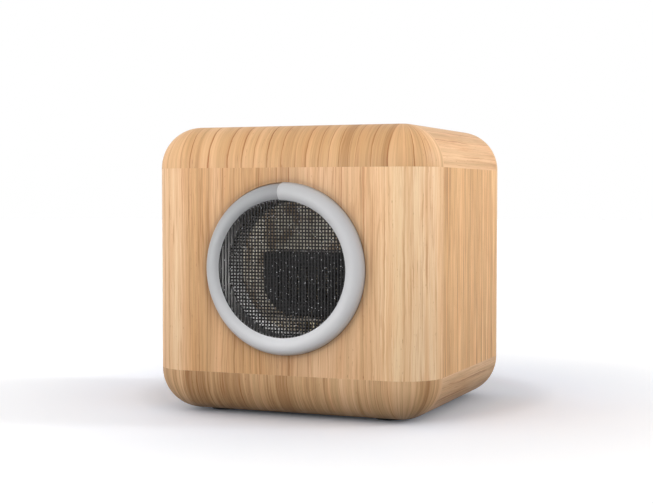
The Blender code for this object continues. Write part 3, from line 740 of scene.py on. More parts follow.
@dataclass(frozen=True)
class Metal:
    """Metal with a fine directional polish.

    Attributes:
        name: The material's name.
        colour: The metal's colour.
        roughness: Its usual roughness.
        metallic: 1 for bare metal, less under lacquer.
        painted_glints: How many painted glints, bright spots that stand in for highlights, lie along
            a metre, or 0 for none.
        painted_glint: Their colour.
        painted_glint_edge: The distances from a glint's middle where it starts and is full, as
            shares.
        polish_scale: How many polishing marks lie along a metre, and how many up a metre.
        polish_depth: The depth of those marks, in metres.
        polish_change: How much its roughness changes with them.
        stain_scale: How many of its stains lie along a metre.
        stain_shade: How dark the stains are, as a share of its colour.
        stain_fade: The noise where a stain starts and is full.
        dull_fade: The noise where the metal starts to dull and is dullest.
        dull_change: How much its roughness rises there.
    """

    name: str
    colour: Colour
    roughness: float
    metallic: float = 1.0
    painted_glints: float = 0.0
    painted_glint: Colour = (0.52, 0.52, 0.54)
    painted_glint_edge: Pair = (0.19, 0.12)
    polish_scale: Pair = (900.0, 9000.0)
    polish_depth: float = 0.000004
    polish_change: float = 0.2
    stain_scale: float = 420.0
    stain_shade: float = 0.78
    stain_fade: Pair = (0.4, 0.75)
    dull_fade: Pair = (0.5, 0.8)
    dull_change: float = 0.1

    def build(self, graph: Graph) -> None:
        """Adds the metal's nodes.

        Args:
            graph: The material's graph.
        """
        split = graph.node("ShaderNodeSeparateXYZ", None, {0: graph.object_place(1.0)})
        level, upward = self.polish_scale
        marks = graph.vector(split * level, split.output(1) * level, split.output(2) * upward)
        polish = graph.noise(marks)
        stain = graph.noise(graph.object_place(self.stain_scale), 3.0)
        dull = tuple(self.stain_shade * part for part in self.colour)
        colour = graph.mix(stain.step(*self.stain_fade), self.colour, dull)
        # Painted glints: bright spots in the colour that stand in for highlights.
        if self.painted_glints:
            away = graph.cells(graph.object_place(self.painted_glints), 1.0)
            colour = graph.mix(away.step(*self.painted_glint_edge), colour, self.painted_glint)
        dulling = stain.step(*self.dull_fade) * self.dull_change
        graph.surface(
            Base_Color=colour,
            Metallic=self.metallic,
            Roughness=self.roughness + (polish - 0.5) * self.polish_change + dulling,
            Normal=graph.bump(polish, self.polish_depth),
        )


@dataclass(frozen=True)
class CircuitBoard:
    """A circuit board under white lacquer, with tracks, pads and flux stains showing.

    Attributes:
        name: The material's name.
        lacquer: The lacquer's colour.
        track: The colour of the tracks under it.
        pad: The colour of the pads.
        blotch: The colour that the flux stains multiply it by.
        pad_scale: How many pads lie along a metre.
        scatter: How unevenly they lie, from 0 to 1.
        pad_edge: The distances from a pad's middle where it starts and is full, as shares.
        pad_metal: How metallic the pads are.
        pad_polish: How much smoother than the lacquer they are.
        track_edge: The distances from a track's middle where it starts and is full, as shares.
        track_depth: How much of the tracks shows through.
        blotch_scale: How many stains lie along a metre.
        blotch_fade: The noise where a stain starts and is full.
        roughness: The lacquer's roughness.
        relief: The height of pads and tracks in metres, and how much of it shows.
    """

    name: str = "white_circuit_board"
    lacquer: Colour = (0.70, 0.66, 0.60)
    track: Colour = (0.42, 0.36, 0.27)
    pad: Colour = (0.55, 0.45, 0.30)
    blotch: Colour = (0.42, 0.37, 0.32)
    pad_scale: float = 260.0
    scatter: float = 0.85
    pad_edge: Pair = (0.13, 0.11)
    pad_metal: float = 0.9
    pad_polish: float = 0.12
    track_edge: Pair = (0.09, 0.05)
    track_depth: float = 0.7
    blotch_scale: float = 110.0
    blotch_fade: Pair = (0.42, 0.62)
    roughness: float = 0.42
    relief: Pair = (0.00003, 0.7)

    def build(self, graph: Graph) -> None:
        """Adds the board's nodes.

        Args:
            graph: The material's graph.
        """
        place = graph.object_place(self.pad_scale)
        routes = graph.cells(place, self.scatter, feature="DISTANCE_TO_EDGE")
        tracks = routes.step(*self.track_edge)
        pads = graph.cells(place, self.scatter, distance="CHEBYCHEV").step(*self.pad_edge)
        coat = graph.mix(tracks * self.track_depth, self.lacquer, self.track)
        stain = graph.noise(graph.object_place(self.blotch_scale), 3.0).step(*self.blotch_fade)
        coat = graph.mix(stain, coat, self.blotch, "MULTIPLY")
        graph.surface(
            Base_Color=graph.mix(pads, coat, self.pad),
            Metallic=pads * self.pad_metal,
            Roughness=self.roughness - pads * self.pad_polish,
            Normal=graph.bump(tracks + pads, *self.relief),
        )


FRONT_OAK = Oak(
    "oak_front",
    4.0,
    bands=(
        *((-60.0, 0.7), (-50.0, 0.8), (-48.0, 0.72), (-44.0, 0.66), (-42.0, 0.8), (-39.5, 0.88)),
        *((-37.8, 0.62), (-36.0, 0.6), (-34.0, 0.38), (-30.0, 0.36), (-24.0, 0.64), (-21.0, 0.5)),
        *((-15.0, 0.36), (-9.0, 0.38), (-2.0, 0.38), (3.0, 0.32), (8.0, 0.58), (15.0, 0.72)),
        *((18.0, 0.56), (26.0, 0.64), (30.0, 0.62), (36.0, 0.94), (38.0, 0.76), (41.5, 1.05)),
        *((44.0, 0.82), (48.0, 1.08), (50.5, 0.84), (54.0, 1.0), (60.4, 0.6)),
    ),
    pallor=(
        *((-60.0, 0.6), (-48.0, 0.5), (-38.0, 0.4), (-34.0, -0.5), (-30.0, -0.4), (-26.0, 0.3)),
        *((-22.0, -0.1), (-10.0, -0.5), (0.0, 0.8), (8.0, 0.9), (20.0, 0.7), (28.0, 0.2)),
        *((41.0, 0.0), (47.0, 0.4), (54.0, 0.5), (60.4, -0.5)),
    ),
    rings=(
        *(-62.0, -53.0, -47.6, -44.4, -37.8, -35.4, -31.7, -28.6, -25.0, -22.4, -18.2, -14.9),
        *(-12.1, -8.6, -4.9, -2.2, 2.4, 5.6, 9.5, 13.1, 16.5, 21.5, 29.2, 36.6),
        *(43.3, 49.5, 52.4, 55.6, 58.0, 62.0),
    ),
    ring_share=0.14,
)
TOP_OAK = Oak(
    "oak_top",
    9.0,
    bands=(
        *((-60.0, 0.5), (-40.8, 0.56), (-40.4, 0.74), (-39.4, 0.74), (-39.0, 0.46), (-33.0, 0.44)),
        *((-29.0, 0.62), (-23.0, 0.44), (-8.0, 0.5), (-5.0, 0.3), (-2.0, 0.48), (1.0, 0.28)),
        *((7.0, 0.4), (13.0, 0.32), (19.0, 0.48), (22.0, 0.1), (25.0, 0.36), (31.0, 0.34)),
        *((34.6, 0.36), (37.6, 0.12), (37.7, 0.5), (41.5, 0.42), (46.5, 0.44), (48.6, 0.32)),
        *((51.0, 0.48), (53.5, 0.54), (55.1, 0.42), (56.3, 0.6), (57.4, 0.62), (58.9, 0.3)),
        (60.4, 0.62),
    ),
    rings=(
        *(-62.0, -54.0, -49.5, -45.0, -39.0, -35.2, -27.8, -20.5, -15.2, -10.9, -5.8, -0.5),
        *(4.6, 8.4, 13.0, 16.6, 20.2, 23.4, 26.0, 31.6, 37.7, 41.6, 46.5, 51.0, 53.4, 57.0, 62.0),
    ),
    ring_share=0.11,
    line_depth=0.75,
    streak_depth=0.2,
    fibre_share=0.22,
)
BOTTOM_OAK = Oak(
    "oak_bottom",
    15.0,
    bands=(
        *((-60.0, 0.4), (-46.0, 0.26), (-39.0, 0.5), (-37.8, 0.5), (-37.7, 0.05), (-33.6, 0.2)),
        *((-28.0, 0.18), (-25.0, 0.28), (-19.0, 0.1), (-13.0, 0.44), (-7.0, 0.4), (0.0, 0.1)),
        *((5.0, 0.36), (11.0, 0.34), (17.0, 0.4), (20.0, 0.52), (26.0, 0.52), (33.0, 0.38)),
        *((37.5, 0.56), (46.0, 0.56), (48.5, 0.3), (50.5, 0.18), (52.5, 0.15), (55.2, 0.37)),
        *((57.2, 0.24), (60.4, 0.5)),
    ),
    rings=(
        *(-62.0, -56.0, -50.5, -45.6, -41.2, -37.7, -33.0, -28.6, -24.9, -20.2, -16.4, -12.6),
        *(-9.4, -6.2, -2.6, 1.4, 5.8, 9.6, 12.6, 16.4, 20.4, 24.6, 29.8, 33.6, 37.7),
        *(43.0, 47.6, 52.4, 57.0, 62.0),
    ),
    ring_share=0.12,
    line_depth=0.4,
    tint=(0.99, 1.035, 1.12),
)
SIDE_OAK = Oak(
    "oak_side",
    21.0,
    bands=(
        *((-50.0, 0.36), (-25.0, 0.42), (-16.0, 0.6), (-10.0, 0.5), (2.0, 0.58)),
        *((8.0, 0.52), (11.0, 0.42), (18.0, 0.6), (28.0, 0.6), (50.0, 0.42)),
    ),
    rings=(
        *(-50.0, -44.0, -38.0, -33.0, -30.6, -27.4, -25.2, -22.0, -19.1, -17.0, -13.6, -11.0),
        *(-7.9, -5.8, -2.9, 0.6, 3.1, 6.4, 9.6, 12.0, 15.6, 18.4, 22.2, 25.6, 29.4, 33.0, 42.0),
    ),
    ring_share=0.16,
    fibre_share=0.72,
    tint=(1.01, 0.952, 0.8),
)
EVEN_BANDS = ((-60.5, 0.6), (-20.0, 0.7), (10.0, 0.6), (60.5, 0.66))
LEFT_OAK = Oak("oak_left", 33.0, EVEN_BANDS, SIDE_OAK.rings)
BACK_OAK = Oak("oak_back", 27.0, EVEN_BANDS, FRONT_OAK.rings)
BLOCK_OAK = Oak("oak_block", 39.0, EVEN_BANDS, SIDE_OAK.rings, tint=(0.7, 1.05, 1.7))
DIFFUSER = Diffuser()
# The grille wires carry painted glints, which stand in for highlights on them.
BLACK_WIRE = Metal("black_wire", (0.008, 0.007, 0.0075), 0.6, 0.1, painted_glints=980.0)
SLEEVE_PLASTIC = Moulded("sleeve_plastic", screen(168, 167, 166), 0.5)
BUTTON_PLASTIC = Moulded("button_plastic", screen(190, 190, 192), 0.42)
COVER_PLASTIC = Moulded("cover_plastic", (0.024, 0.025, 0.028), 0.5)
SLOT_FINISHES: dict[str, Finish] = {
    "oak": BLOCK_OAK,
    "diffuser": DIFFUSER,
    "black_wire": BLACK_WIRE,
    "grey_plastic": BUTTON_PLASTIC,
    "black_plastic": COVER_PLASTIC,
    "white_board": CircuitBoard(),
    "gold": Metal("gold_plate", (0.48, 0.42, 0.31), 0.45),
    "brass": Metal("turned_brass", (0.46, 0.42, 0.3), 0.45),
    "steel": Metal("plated_steel", (0.55, 0.55, 0.56), 0.34),
    "lead_cover": Moulded("lead_cover", (0.07, 0.07, 0.08), 0.6),
    "rubber": Moulded("foot_rubber", (0.035, 0.035, 0.036), 0.8, 0.00003, 0.3),
}


# Mesh work


class Side(Enum):
    """A side of a box, as an axis and a direction along it."""

    FRONT = (1, -1)
    BACK = (1, 1)


@dataclass(frozen=True)
class Box:
    """A box between two corners.

    Attributes:
        low: Its lowest corner.
        high: Its highest corner.
    """

    low: Vector
    high: Vector

    @classmethod
    def of(cls, *nodes: str) -> "Box":
        """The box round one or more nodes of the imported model.

        Args:
            nodes: The nodes' names.

        Returns:
            The box.
        """
        corners = [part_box(node) for node in nodes]
        low = Vector(map(min, zip(*(pair[0] for pair in corners))))
        high = Vector(map(max, zip(*(pair[1] for pair in corners))))
        return cls(low, high)

    @property
    def middle(self) -> Vector:
        """The box's middle."""
        return (self.low + self.high) / 2

    @property
    def size(self) -> Vector:
        """The box's three sizes."""
        return self.high - self.low

    def shrunk(self, margin: float) -> "Box":
        """A box whose sides lie further in by a margin."""
        inset = Vector((margin,) * 3)
        return Box(self.low + inset, self.high - inset)

    def nearest(self, point: Vector) -> Vector:
        """The point of the box that is nearest to a point."""
        return Vector(max(a, min(b, p)) for a, b, p in zip(self.low, self.high, point))


def new_block(bm: BMesh, box: Box) -> list[BMVert]:
    """Adds a block that fills a box.

    Args:
        bm: The mesh that it goes into.
        box: The box.

    Returns:
        The block's vertices.
    """
    matrix = Matrix.Translation(box.middle) @ Matrix.Diagonal((*box.size, 1.0))
    return bmesh.ops.create_cube(bm, size=1.0, matrix=matrix)["verts"]


class Rounding(Enum):
    """What is rounded: the edges of a solid, or the corners of a flat shape."""

    EDGES = "EDGES"
    CORNERS = "VERTICES"


def round_off(
    bm: BMesh,
    parts: Iterable[BMEdge | BMVert],
    radius: float,
    steps: int,
    rounding: Rounding = Rounding.EDGES,
) -> None:
    """Rounds edges or corners with an arc.

    Args:
        bm: The mesh.
        parts: The edges, or the vertices at the corners.
        radius: The arc's radius.
        steps: The number of faces or edges round the arc.
        rounding: Which of the two is rounded.
    """
    bmesh.ops.bevel(
        bm,
        geom=list(parts),
        offset=radius,
        segments=steps,
        profile=0.5,
        affect=rounding.value,
        material=-1,
    )


def runs_along(edge: BMEdge, axis: int) -> bool:
    """Whether an edge runs along an axis."""
    along = edge.verts[1].co - edge.verts[0].co
    return abs(along[axis]) > ALIGNED * along.length


def side_face(bm: BMesh, side: Side) -> BMFace:
    """The largest face that looks out of a side.

    Args:
        bm: The mesh.
        side: The side.

    Returns:
        The face.
    """
    axis, way = side.value
    facing = [face for face in bm.faces if face.normal[axis] * way > ALIGNED]
    return max(facing, key=BMFace.calc_area)


def outline_of(bm: BMesh, face: BMFace) -> list[BMEdge]:
    """Deletes a face and gives the edges that were round it.

    Args:
        bm: The mesh.
        face: The face.

    Returns:
        The edges.
    """
    edges = list(face.edges)
    bmesh.ops.delete(bm, geom=[face], context="FACES_ONLY")
    return edges


def open_side(bm: BMesh, side: Side) -> tuple[float, list[BMEdge]]:
    """Takes away the face of a board that looks out of a side.

    Args:
        bm: The board's mesh.
        side: The side.

    Returns:
        The face's place along Y and the edges that were round it.
    """
    face = side_face(bm, side)
    return face.calc_center_median().y, outline_of(bm, face)


def at_depth(point: Vector, y: float) -> Vector:
    """A point moved along Y."""
    return Vector((point.x, y, point.z))


def new_circle(bm: BMesh, centre: Vector, radius: float, steps: int) -> list[BMEdge]:
    """Adds a circle of edges that lies in the X-Z plane.

    Args:
        bm: The mesh.
        centre: Its centre.
        radius: Its radius.
        steps: The number of its edges.

    Returns:
        Its edges.
    """
    matrix = Matrix.Translation(centre) @ FACING_FRONT
    made = bmesh.ops.create_circle(bm, segments=steps, radius=radius, matrix=matrix)["verts"]
    return list({edge for vert in made for edge in vert.link_edges})


def new_rounded_outline(
    bm: BMesh, centre: Vector, width: float, height: float, radius: float
) -> list[BMEdge]:
    """Adds an outline with round corners that lies in the X-Z plane.

    Args:
        bm: The mesh.
        centre: Its centre.
        width: Its size along X.
        height: Its size along Z.
        radius: The radius of its corners.

    Returns:
        Its edges.
    """
    scale = Matrix.Diagonal((width / 2, height / 2, 1.0, 1.0))
    matrix = Matrix.Translation(centre) @ FACING_FRONT @ scale
    made = bmesh.ops.create_grid(bm, x_segments=1, y_segments=1, size=1.0, matrix=matrix)["verts"]
    round_off(bm, made, radius, OUTLINE_STEPS, Rounding.CORNERS)
    made_face = min(bm.faces, key=lambda face: (face.calc_center_median() - centre).length)
    return outline_of(bm, made_face)


def extend(bm: BMesh, edges: Sequence[BMEdge], move: Vector, scale: float = 1.0) -> list[BMEdge]:
    """Extends a closed loop of edges by a band of faces.

    Args:
        bm: The mesh.
        edges: The loop.
        move: How far the new loop lies from the old one.
        scale: The new loop's size as a share of the old one's, about its own middle.

    Returns:
        The new loop's edges.
    """
    made = bmesh.ops.extrude_edge_only(bm, edges=list(edges))["geom"]
    verts = [item for item in made if isinstance(item, BMVert)]
    middle = sum((vert.co for vert in verts), Vector()) / len(verts)
    bmesh.ops.scale(bm, vec=(scale,) * 3, space=Matrix.Translation(-middle), verts=verts)
    bmesh.ops.translate(bm, vec=move, verts=verts)
    return [item for item in made if isinstance(item, BMEdge)]


def fill_between(bm: BMesh, *loops: Sequence[BMEdge]) -> None:
    """Fills a flat stretch between loops of edges, of which the first is the outline."""
    edges = [edge for loop in loops for edge in loop]
    bmesh.ops.triangle_fill(bm, use_beauty=True, edges=edges)


def spin_profile(
    bm: BMesh, profile: Sequence[Pair], steps: int, closed: bool = True
) -> None:
    """Turns a profile once round the Z axis.

    Args:
        bm: The mesh.
        profile: Its points, as (radius, height).
        steps: The number of steps round.
        closed: Whether the last point joins the first.
    """
    points = [bm.verts.new((0.0, radius, height)) for radius, height in profile]
    pairs = list(zip(points, points[1:]))
    if closed:
        pairs.append((points[-1], points[0]))
    edges = [bm.edges.new(pair) for pair in pairs]
    bmesh.ops.spin(
        bm,
        geom=points + edges,
        axis=(0.0, 0.0, 1.0),
        angle=math.tau,
        steps=steps,
        use_merge=True,
    )
    bmesh.ops.remove_doubles(bm, verts=bm.verts, dist=WELD)


def arc(
    centre: Pair, radius: float, start: float, end: float, steps: int
) -> list[Pair]:
    """Points of an arc in a profile.

    Args:
        centre: Its centre, as (radius from the axis, height).
        radius: Its radius.
        start: The angle of its first point.
        end: The angle of its last point.
        steps: The number of steps.

    Returns:
        The points.
    """
    angles = [start + (end - start) * step / steps for step in range(steps + 1)]
    return [(centre[0] + radius * math.cos(a), centre[1] + radius * math.sin(a)) for a in angles]


def mesh_of(name: str, bm: BMesh) -> bpy.types.Mesh:
    """Makes a finished mesh.

    Args:
        name: Its name.
        bm: What it is made from, which is freed.

    Returns:
        The mesh.
    """
    mesh = bpy.data.meshes.new(name)
    bm.to_mesh(mesh)
    bm.free()
    return mesh


def new_object(name: str, data: bpy.types.ID) -> bpy.types.Object:
    """Puts a mesh, lamp or camera in the scene.

    Args:
        name: The object's name.
        data: What it shows.

    Returns:
        The object.
    """
    made = bpy.data.objects.new(name, data)
    bpy.context.scene.collection.objects.link(made)
    return made


# Sub-assemblies


class Body(Enum):
    """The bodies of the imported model."""

    CASE = "case"
    BUTTON = "button"


@dataclass
class SubAssembly:
    """What every sub-assembly shares: how a mesh becomes a piece of the object."""

    def add(
        self,
        name: str,
        bm: BMesh,
        finish: Finish,
        slot: str,
        stands_for: Sequence[str],
        body: Body = Body.CASE,
        sharp: float = 35.0,
        outward: bool = True,
    ) -> bpy.types.Object:
        """Makes a piece from a mesh.

        Args:
            name: The piece's name.
            bm: Its mesh, in place, which is freed.
            finish: Its finish.
            slot: The record's material slot, which is not used.
            stands_for: The nodes that it replaces.
            body: The body that it rides on.
            sharp: The angle in degrees past which an edge stays sharp.
            outward: Whether its faces are turned outwards first.

        Returns:
            The piece.
        """
        if outward:
            bmesh.ops.recalc_face_normals(bm, faces=bm.faces)
        mesh = mesh_of(name, bm)
        mesh.shade_smooth()
        mesh.set_sharp_from_angle(angle=math.radians(sharp))
        mesh.materials.append(material_of(finish))
        piece = new_object(name, mesh)
        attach(piece, body.value)
        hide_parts(*stands_for)
        LOG.info("%s stands for %s, %d faces", name, ", ".join(stands_for), len(mesh.polygons))
        return piece


BOARD_NODES = {
    "front_board": ("front_panel", FRONT_OAK),
    "back_board": ("back_panel", BACK_OAK),
    "left_board": ("left_side_panel", LEFT_OAK),
    "right_board": ("right_side_panel", SIDE_OAK),
    "top_board": ("top_panel", TOP_OAK),
    "bottom_board": ("bottom_panel", BOTTOM_OAK),
}


def case_box() -> Box:
    """The box round the case's boards."""
    return Box.of(*(node for node, _ in BOARD_NODES.values()))


@dataclass
class OakCase(SubAssembly):
    """The six boards of the case, with their rounded edges, holes and grain maps.

    Attributes:
        edge_radius: The radius of the case's rounded edges.
        edge_steps: The faces round each of them.
        seam_radius: The softening of the boards' edges at the seams.
        seam_reach: How far each board reaches into the gap to its neighbour.
        ring_seat: The radius of the ring light's counterbore.
        ring_seat_depth: Its depth.
        barrel_hole: The radius of the hole behind it.
        port_width: The width of the plug opening.
        port_height: Its height.
        port_corner: The radius of its corners.
        port_wall: The thickness of the wall round it.
        button_hole: The radius of the push button's hole.
        button_hole_steps: The edges round it.
        pocket_low: The X and Z of the lower corner of the pocket inside both.
        pocket_high: The X and Z of its upper corner.
        pocket_corner: The radius of its corners.
        hole_steps: The edges round the ring light's hole.
        sharp_turn: The angle between two faces past which their edge is softened.
        oiled_depth: How deep in the case a face still counts as oiled.
        skin: How far the boards stay inside the case's faces.
    """

    edge_radius: float = 0.0145
    edge_steps: int = 18
    seam_radius: float = 0.00002
    seam_reach: float = 0.000024
    ring_seat: float = 0.02925
    ring_seat_depth: float = 0.0022
    barrel_hole: float = 0.0259
    port_width: float = 0.0130
    port_height: float = 0.0076
    port_corner: float = 0.0030
    port_wall: float = 0.0045
    button_hole: float = 0.0033
    button_hole_steps: int = 48
    pocket_low: Pair = (-0.0077, 0.0310)
    pocket_high: Pair = (0.0182, 0.0413)
    pocket_corner: float = 0.0020
    hole_steps: int = 128
    sharp_turn: float = math.radians(50)
    oiled_depth: float = 0.007
    skin: float = 0.000001

    def __post_init__(self) -> None:
        """Measures the case and the box between its rounded edges."""
        self.case = case_box().shrunk(self.skin)
        self.core = self.case.shrunk(self.edge_radius)

    def build(self) -> None:
        """Makes the boards."""
        cuts: dict[str, Callable[[BMesh], None]] = {
            "front_board": self.cut_ring_hole,
            "back_board": self.cut_rear_openings,
        }
        for name, (node, oak) in BOARD_NODES.items():
            bm = self.board(self.grown(Box.of(node)))
            if name in cuts:
                cuts[name](bm)
            self.soften_seams(bm)
            bmesh.ops.recalc_face_normals(bm, faces=bm.faces)
            self.map_grain(bm, deep=name in ("top_board", "bottom_board"))
            # The front board gets painted shade round the ring light.
            if name == "front_board":
                oak = replace(oak, ring_shade_place=self.ring_shade_circle())
            piece = self.add(name, bm, oak, "oak", [node], outward=False)
            shading = piece.modifiers.new("even shading", "WEIGHTED_NORMAL")
            shading.keep_sharp = True

    def ring_shade_circle(self) -> tuple[float, float, float]:
        """The ring light's place on the front board and its radius in millimetres, round which shade
        is painted.
        """
        ring = Box.of("light_ring")
        return tuple(MILLIMETRES * part for part in (ring.middle.x, ring.middle.z, ring.size.x / 2))

    def grown(self, box: Box) -> Box:
        """A board's box, grown into the gaps to its neighbours but not past the case."""
        grown = box.shrunk(-self.seam_reach)
        return Box(self.case.nearest(grown.low), self.case.nearest(grown.high))

    def on_outside(self, face: BMFace) -> bool:
        """Whether a face lies on the outside of the case.

        Args:
            face: The face.

        Returns:
            True if its middle lies on one of the case's six sides.
        """
        middle = face.calc_center_median()
        low, high = self.case.low, self.case.high
        gaps = [min(abs(middle[i] - low[i]), abs(middle[i] - high[i])) for i in range(3)]
        return min(gaps) < TINY

    def board(self, box: Box) -> BMesh:
        """A board whose edges are rounded where they lie on the outside of the case.

        Args:
            box: The board's box.

        Returns:
            Its mesh.
        """
        bm = bmesh.new()
        new_block(bm, box)
        outer = [e for e in bm.edges if all(self.on_outside(face) for face in e.link_faces)]
        round_off(bm, outer, self.edge_radius, self.edge_steps)
        return bm

    def soften_seams(self, bm: BMesh) -> None:
        """Rounds the board's sharp edges a little, so that the seams catch a thin line of shade."""
        sharp = [e for e in bm.edges if e.is_manifold and e.calc_face_angle(0.0) > self.sharp_turn]
        round_off(bm, sharp, self.seam_radius, SOFT_STEPS)

    def cut_ring_hole(self, bm: BMesh) -> None:
        """Cuts the front board's counterbore and hole for the ring light.

        Args:
            bm: The board's mesh.
        """
        grille = Box.of("front_grille").middle
        front_y, outline = open_side(bm, Side.FRONT)
        back_y, inner_outline = open_side(bm, Side.BACK)
        rim = new_circle(bm, at_depth(grille, front_y), self.ring_seat, self.hole_steps)
        fill_between(bm, outline, rim)
        seat = extend(bm, rim, Vector((0.0, self.ring_seat_depth, 0.0)))
        step = extend(bm, seat, Vector(), self.barrel_hole / self.ring_seat)
        depth = back_y - front_y - self.ring_seat_depth
        end = extend(bm, step, Vector((0.0, depth, 0.0)))
        fill_between(bm, inner_outline, end)

    def cut_rear_openings(self, bm: BMesh) -> None:
        """Cuts the back board's plug opening and button hole, and the pocket inside them.

        Args:
            bm: The board's mesh.
        """
        port, button = Box.of("usb_c_receptacle").middle, Box.of("push_button").middle
        back_y, outline = open_side(bm, Side.BACK)
        inner_y, inner_outline = open_side(bm, Side.FRONT)
        size = (self.port_width, self.port_height, self.port_corner)
        opening = new_rounded_outline(bm, at_depth(port, back_y), *size)
        centre = at_depth(button, back_y)
        hole = new_circle(bm, centre, self.button_hole, self.button_hole_steps)
        fill_between(bm, outline, opening, hole)
        wall = Vector((0.0, -self.port_wall, 0.0))
        ends = extend(bm, opening, wall), extend(bm, hole, wall)
        low, high = Vector(self.pocket_low), Vector(self.pocket_high)
        across, up = (low + high) / 2
        middle = Vector((across, back_y - self.port_wall, up))
        pocket = new_rounded_outline(bm, middle, *(high - low), self.pocket_corner)
        fill_between(bm, pocket, *ends)
        mouth = extend(bm, pocket, Vector((0.0, inner_y - middle.y, 0.0)))
        fill_between(bm, inner_outline, mouth)

    def map_grain(self, bm: BMesh, deep: bool) -> None:
        """Gives each face's corners their place across and along the grain, and marks the inside.

        Args:
            bm: The board's mesh.
            deep: Whether the grain runs along the depth, as on the top and bottom boards.
        """
        layer = bm.loops.layers.uv.new(GRAIN_MAP)
        unoiled = bm.faces.layers.float.new(UNOILED)
        inside = self.case.shrunk(self.oiled_depth)
        place = self.deep_place if deep else self.upright_place
        for face in bm.faces:
            middle = face.calc_center_median()
            face[unoiled] = float(inside.nearest(middle) == middle)
            for loop in face.loops:
                across, along = place(loop.vert.co, middle, face.normal)
                loop[layer].uv = MILLIMETRES * across, MILLIMETRES * along

    def beyond(self, middle: Vector) -> list[int]:
        """For each axis, on which side of the core a point lies, or 0 within it."""
        limits = zip(middle, self.core.low, self.core.high)
        return [(part > high + TINY) - (part < low - TINY) for part, low, high in limits]

    def wrapped(self, axis: int, way: int, angle: float) -> float:
        """The distance from the case's middle to a place on a rounded edge.

        Args:
            axis: The axis across the edge.
            way: The side of the case, 1 or -1.
            angle: How far round the edge the place lies.

        Returns:
            The distance over the surface, with its sign.
        """
        edge = self.core.high[axis] if way > 0 else self.core.low[axis]
        return edge + way * self.edge_radius * angle

    def upright_place(self, point: Vector, middle: Vector, normal: Vector) -> Pair:
        """A point's place on a board whose grain runs upwards.

        Args:
            point: The point.
            middle: The middle of its face.
            normal: The face's normal.

        Returns:
            The places across and along the grain.
        """
        x_way, y_way, _ = self.beyond(middle)
        if x_way and y_way:
            out = point - self.core.nearest(point)
            return self.wrapped(0, x_way, math.atan2(abs(out.x), abs(out.y))), point.z
        if abs(normal.z) > MOSTLY:
            return point.x, point.y
        return (point.y, point.z) if abs(normal.x) > MOSTLY else (point.x, point.z)

    def deep_place(self, point: Vector, middle: Vector, normal: Vector) -> Pair:
        """A point's place on a board whose grain runs along the depth.

        Args:
            point: The point.
            middle: The middle of its face.
            normal: The face's normal, which is not used.

        Returns:
            The places across and along the grain.
        """
        x_way, y_way, _ = self.beyond(middle)
        out = point - self.core.nearest(point)
        if x_way and y_way:
            flat = math.hypot(out.x, out.y)
            if flat < TINY:
                out = middle - self.core.nearest(middle)
            turn = math.atan2(abs(out.x), abs(out.y))
            tilt = math.atan2(flat, abs(point.z - self.core.nearest(point).z))
            return self.wrapped(0, x_way, turn), self.wrapped(1, y_way, tilt)
        if x_way:
            return self.wrapped(0, x_way, math.atan2(abs(out.x), abs(out.z))), point.y
        if y_way:
            return point.x, self.wrapped(1, y_way, math.atan2(abs(out.y), abs(out.z)))
        return point.x, point.y


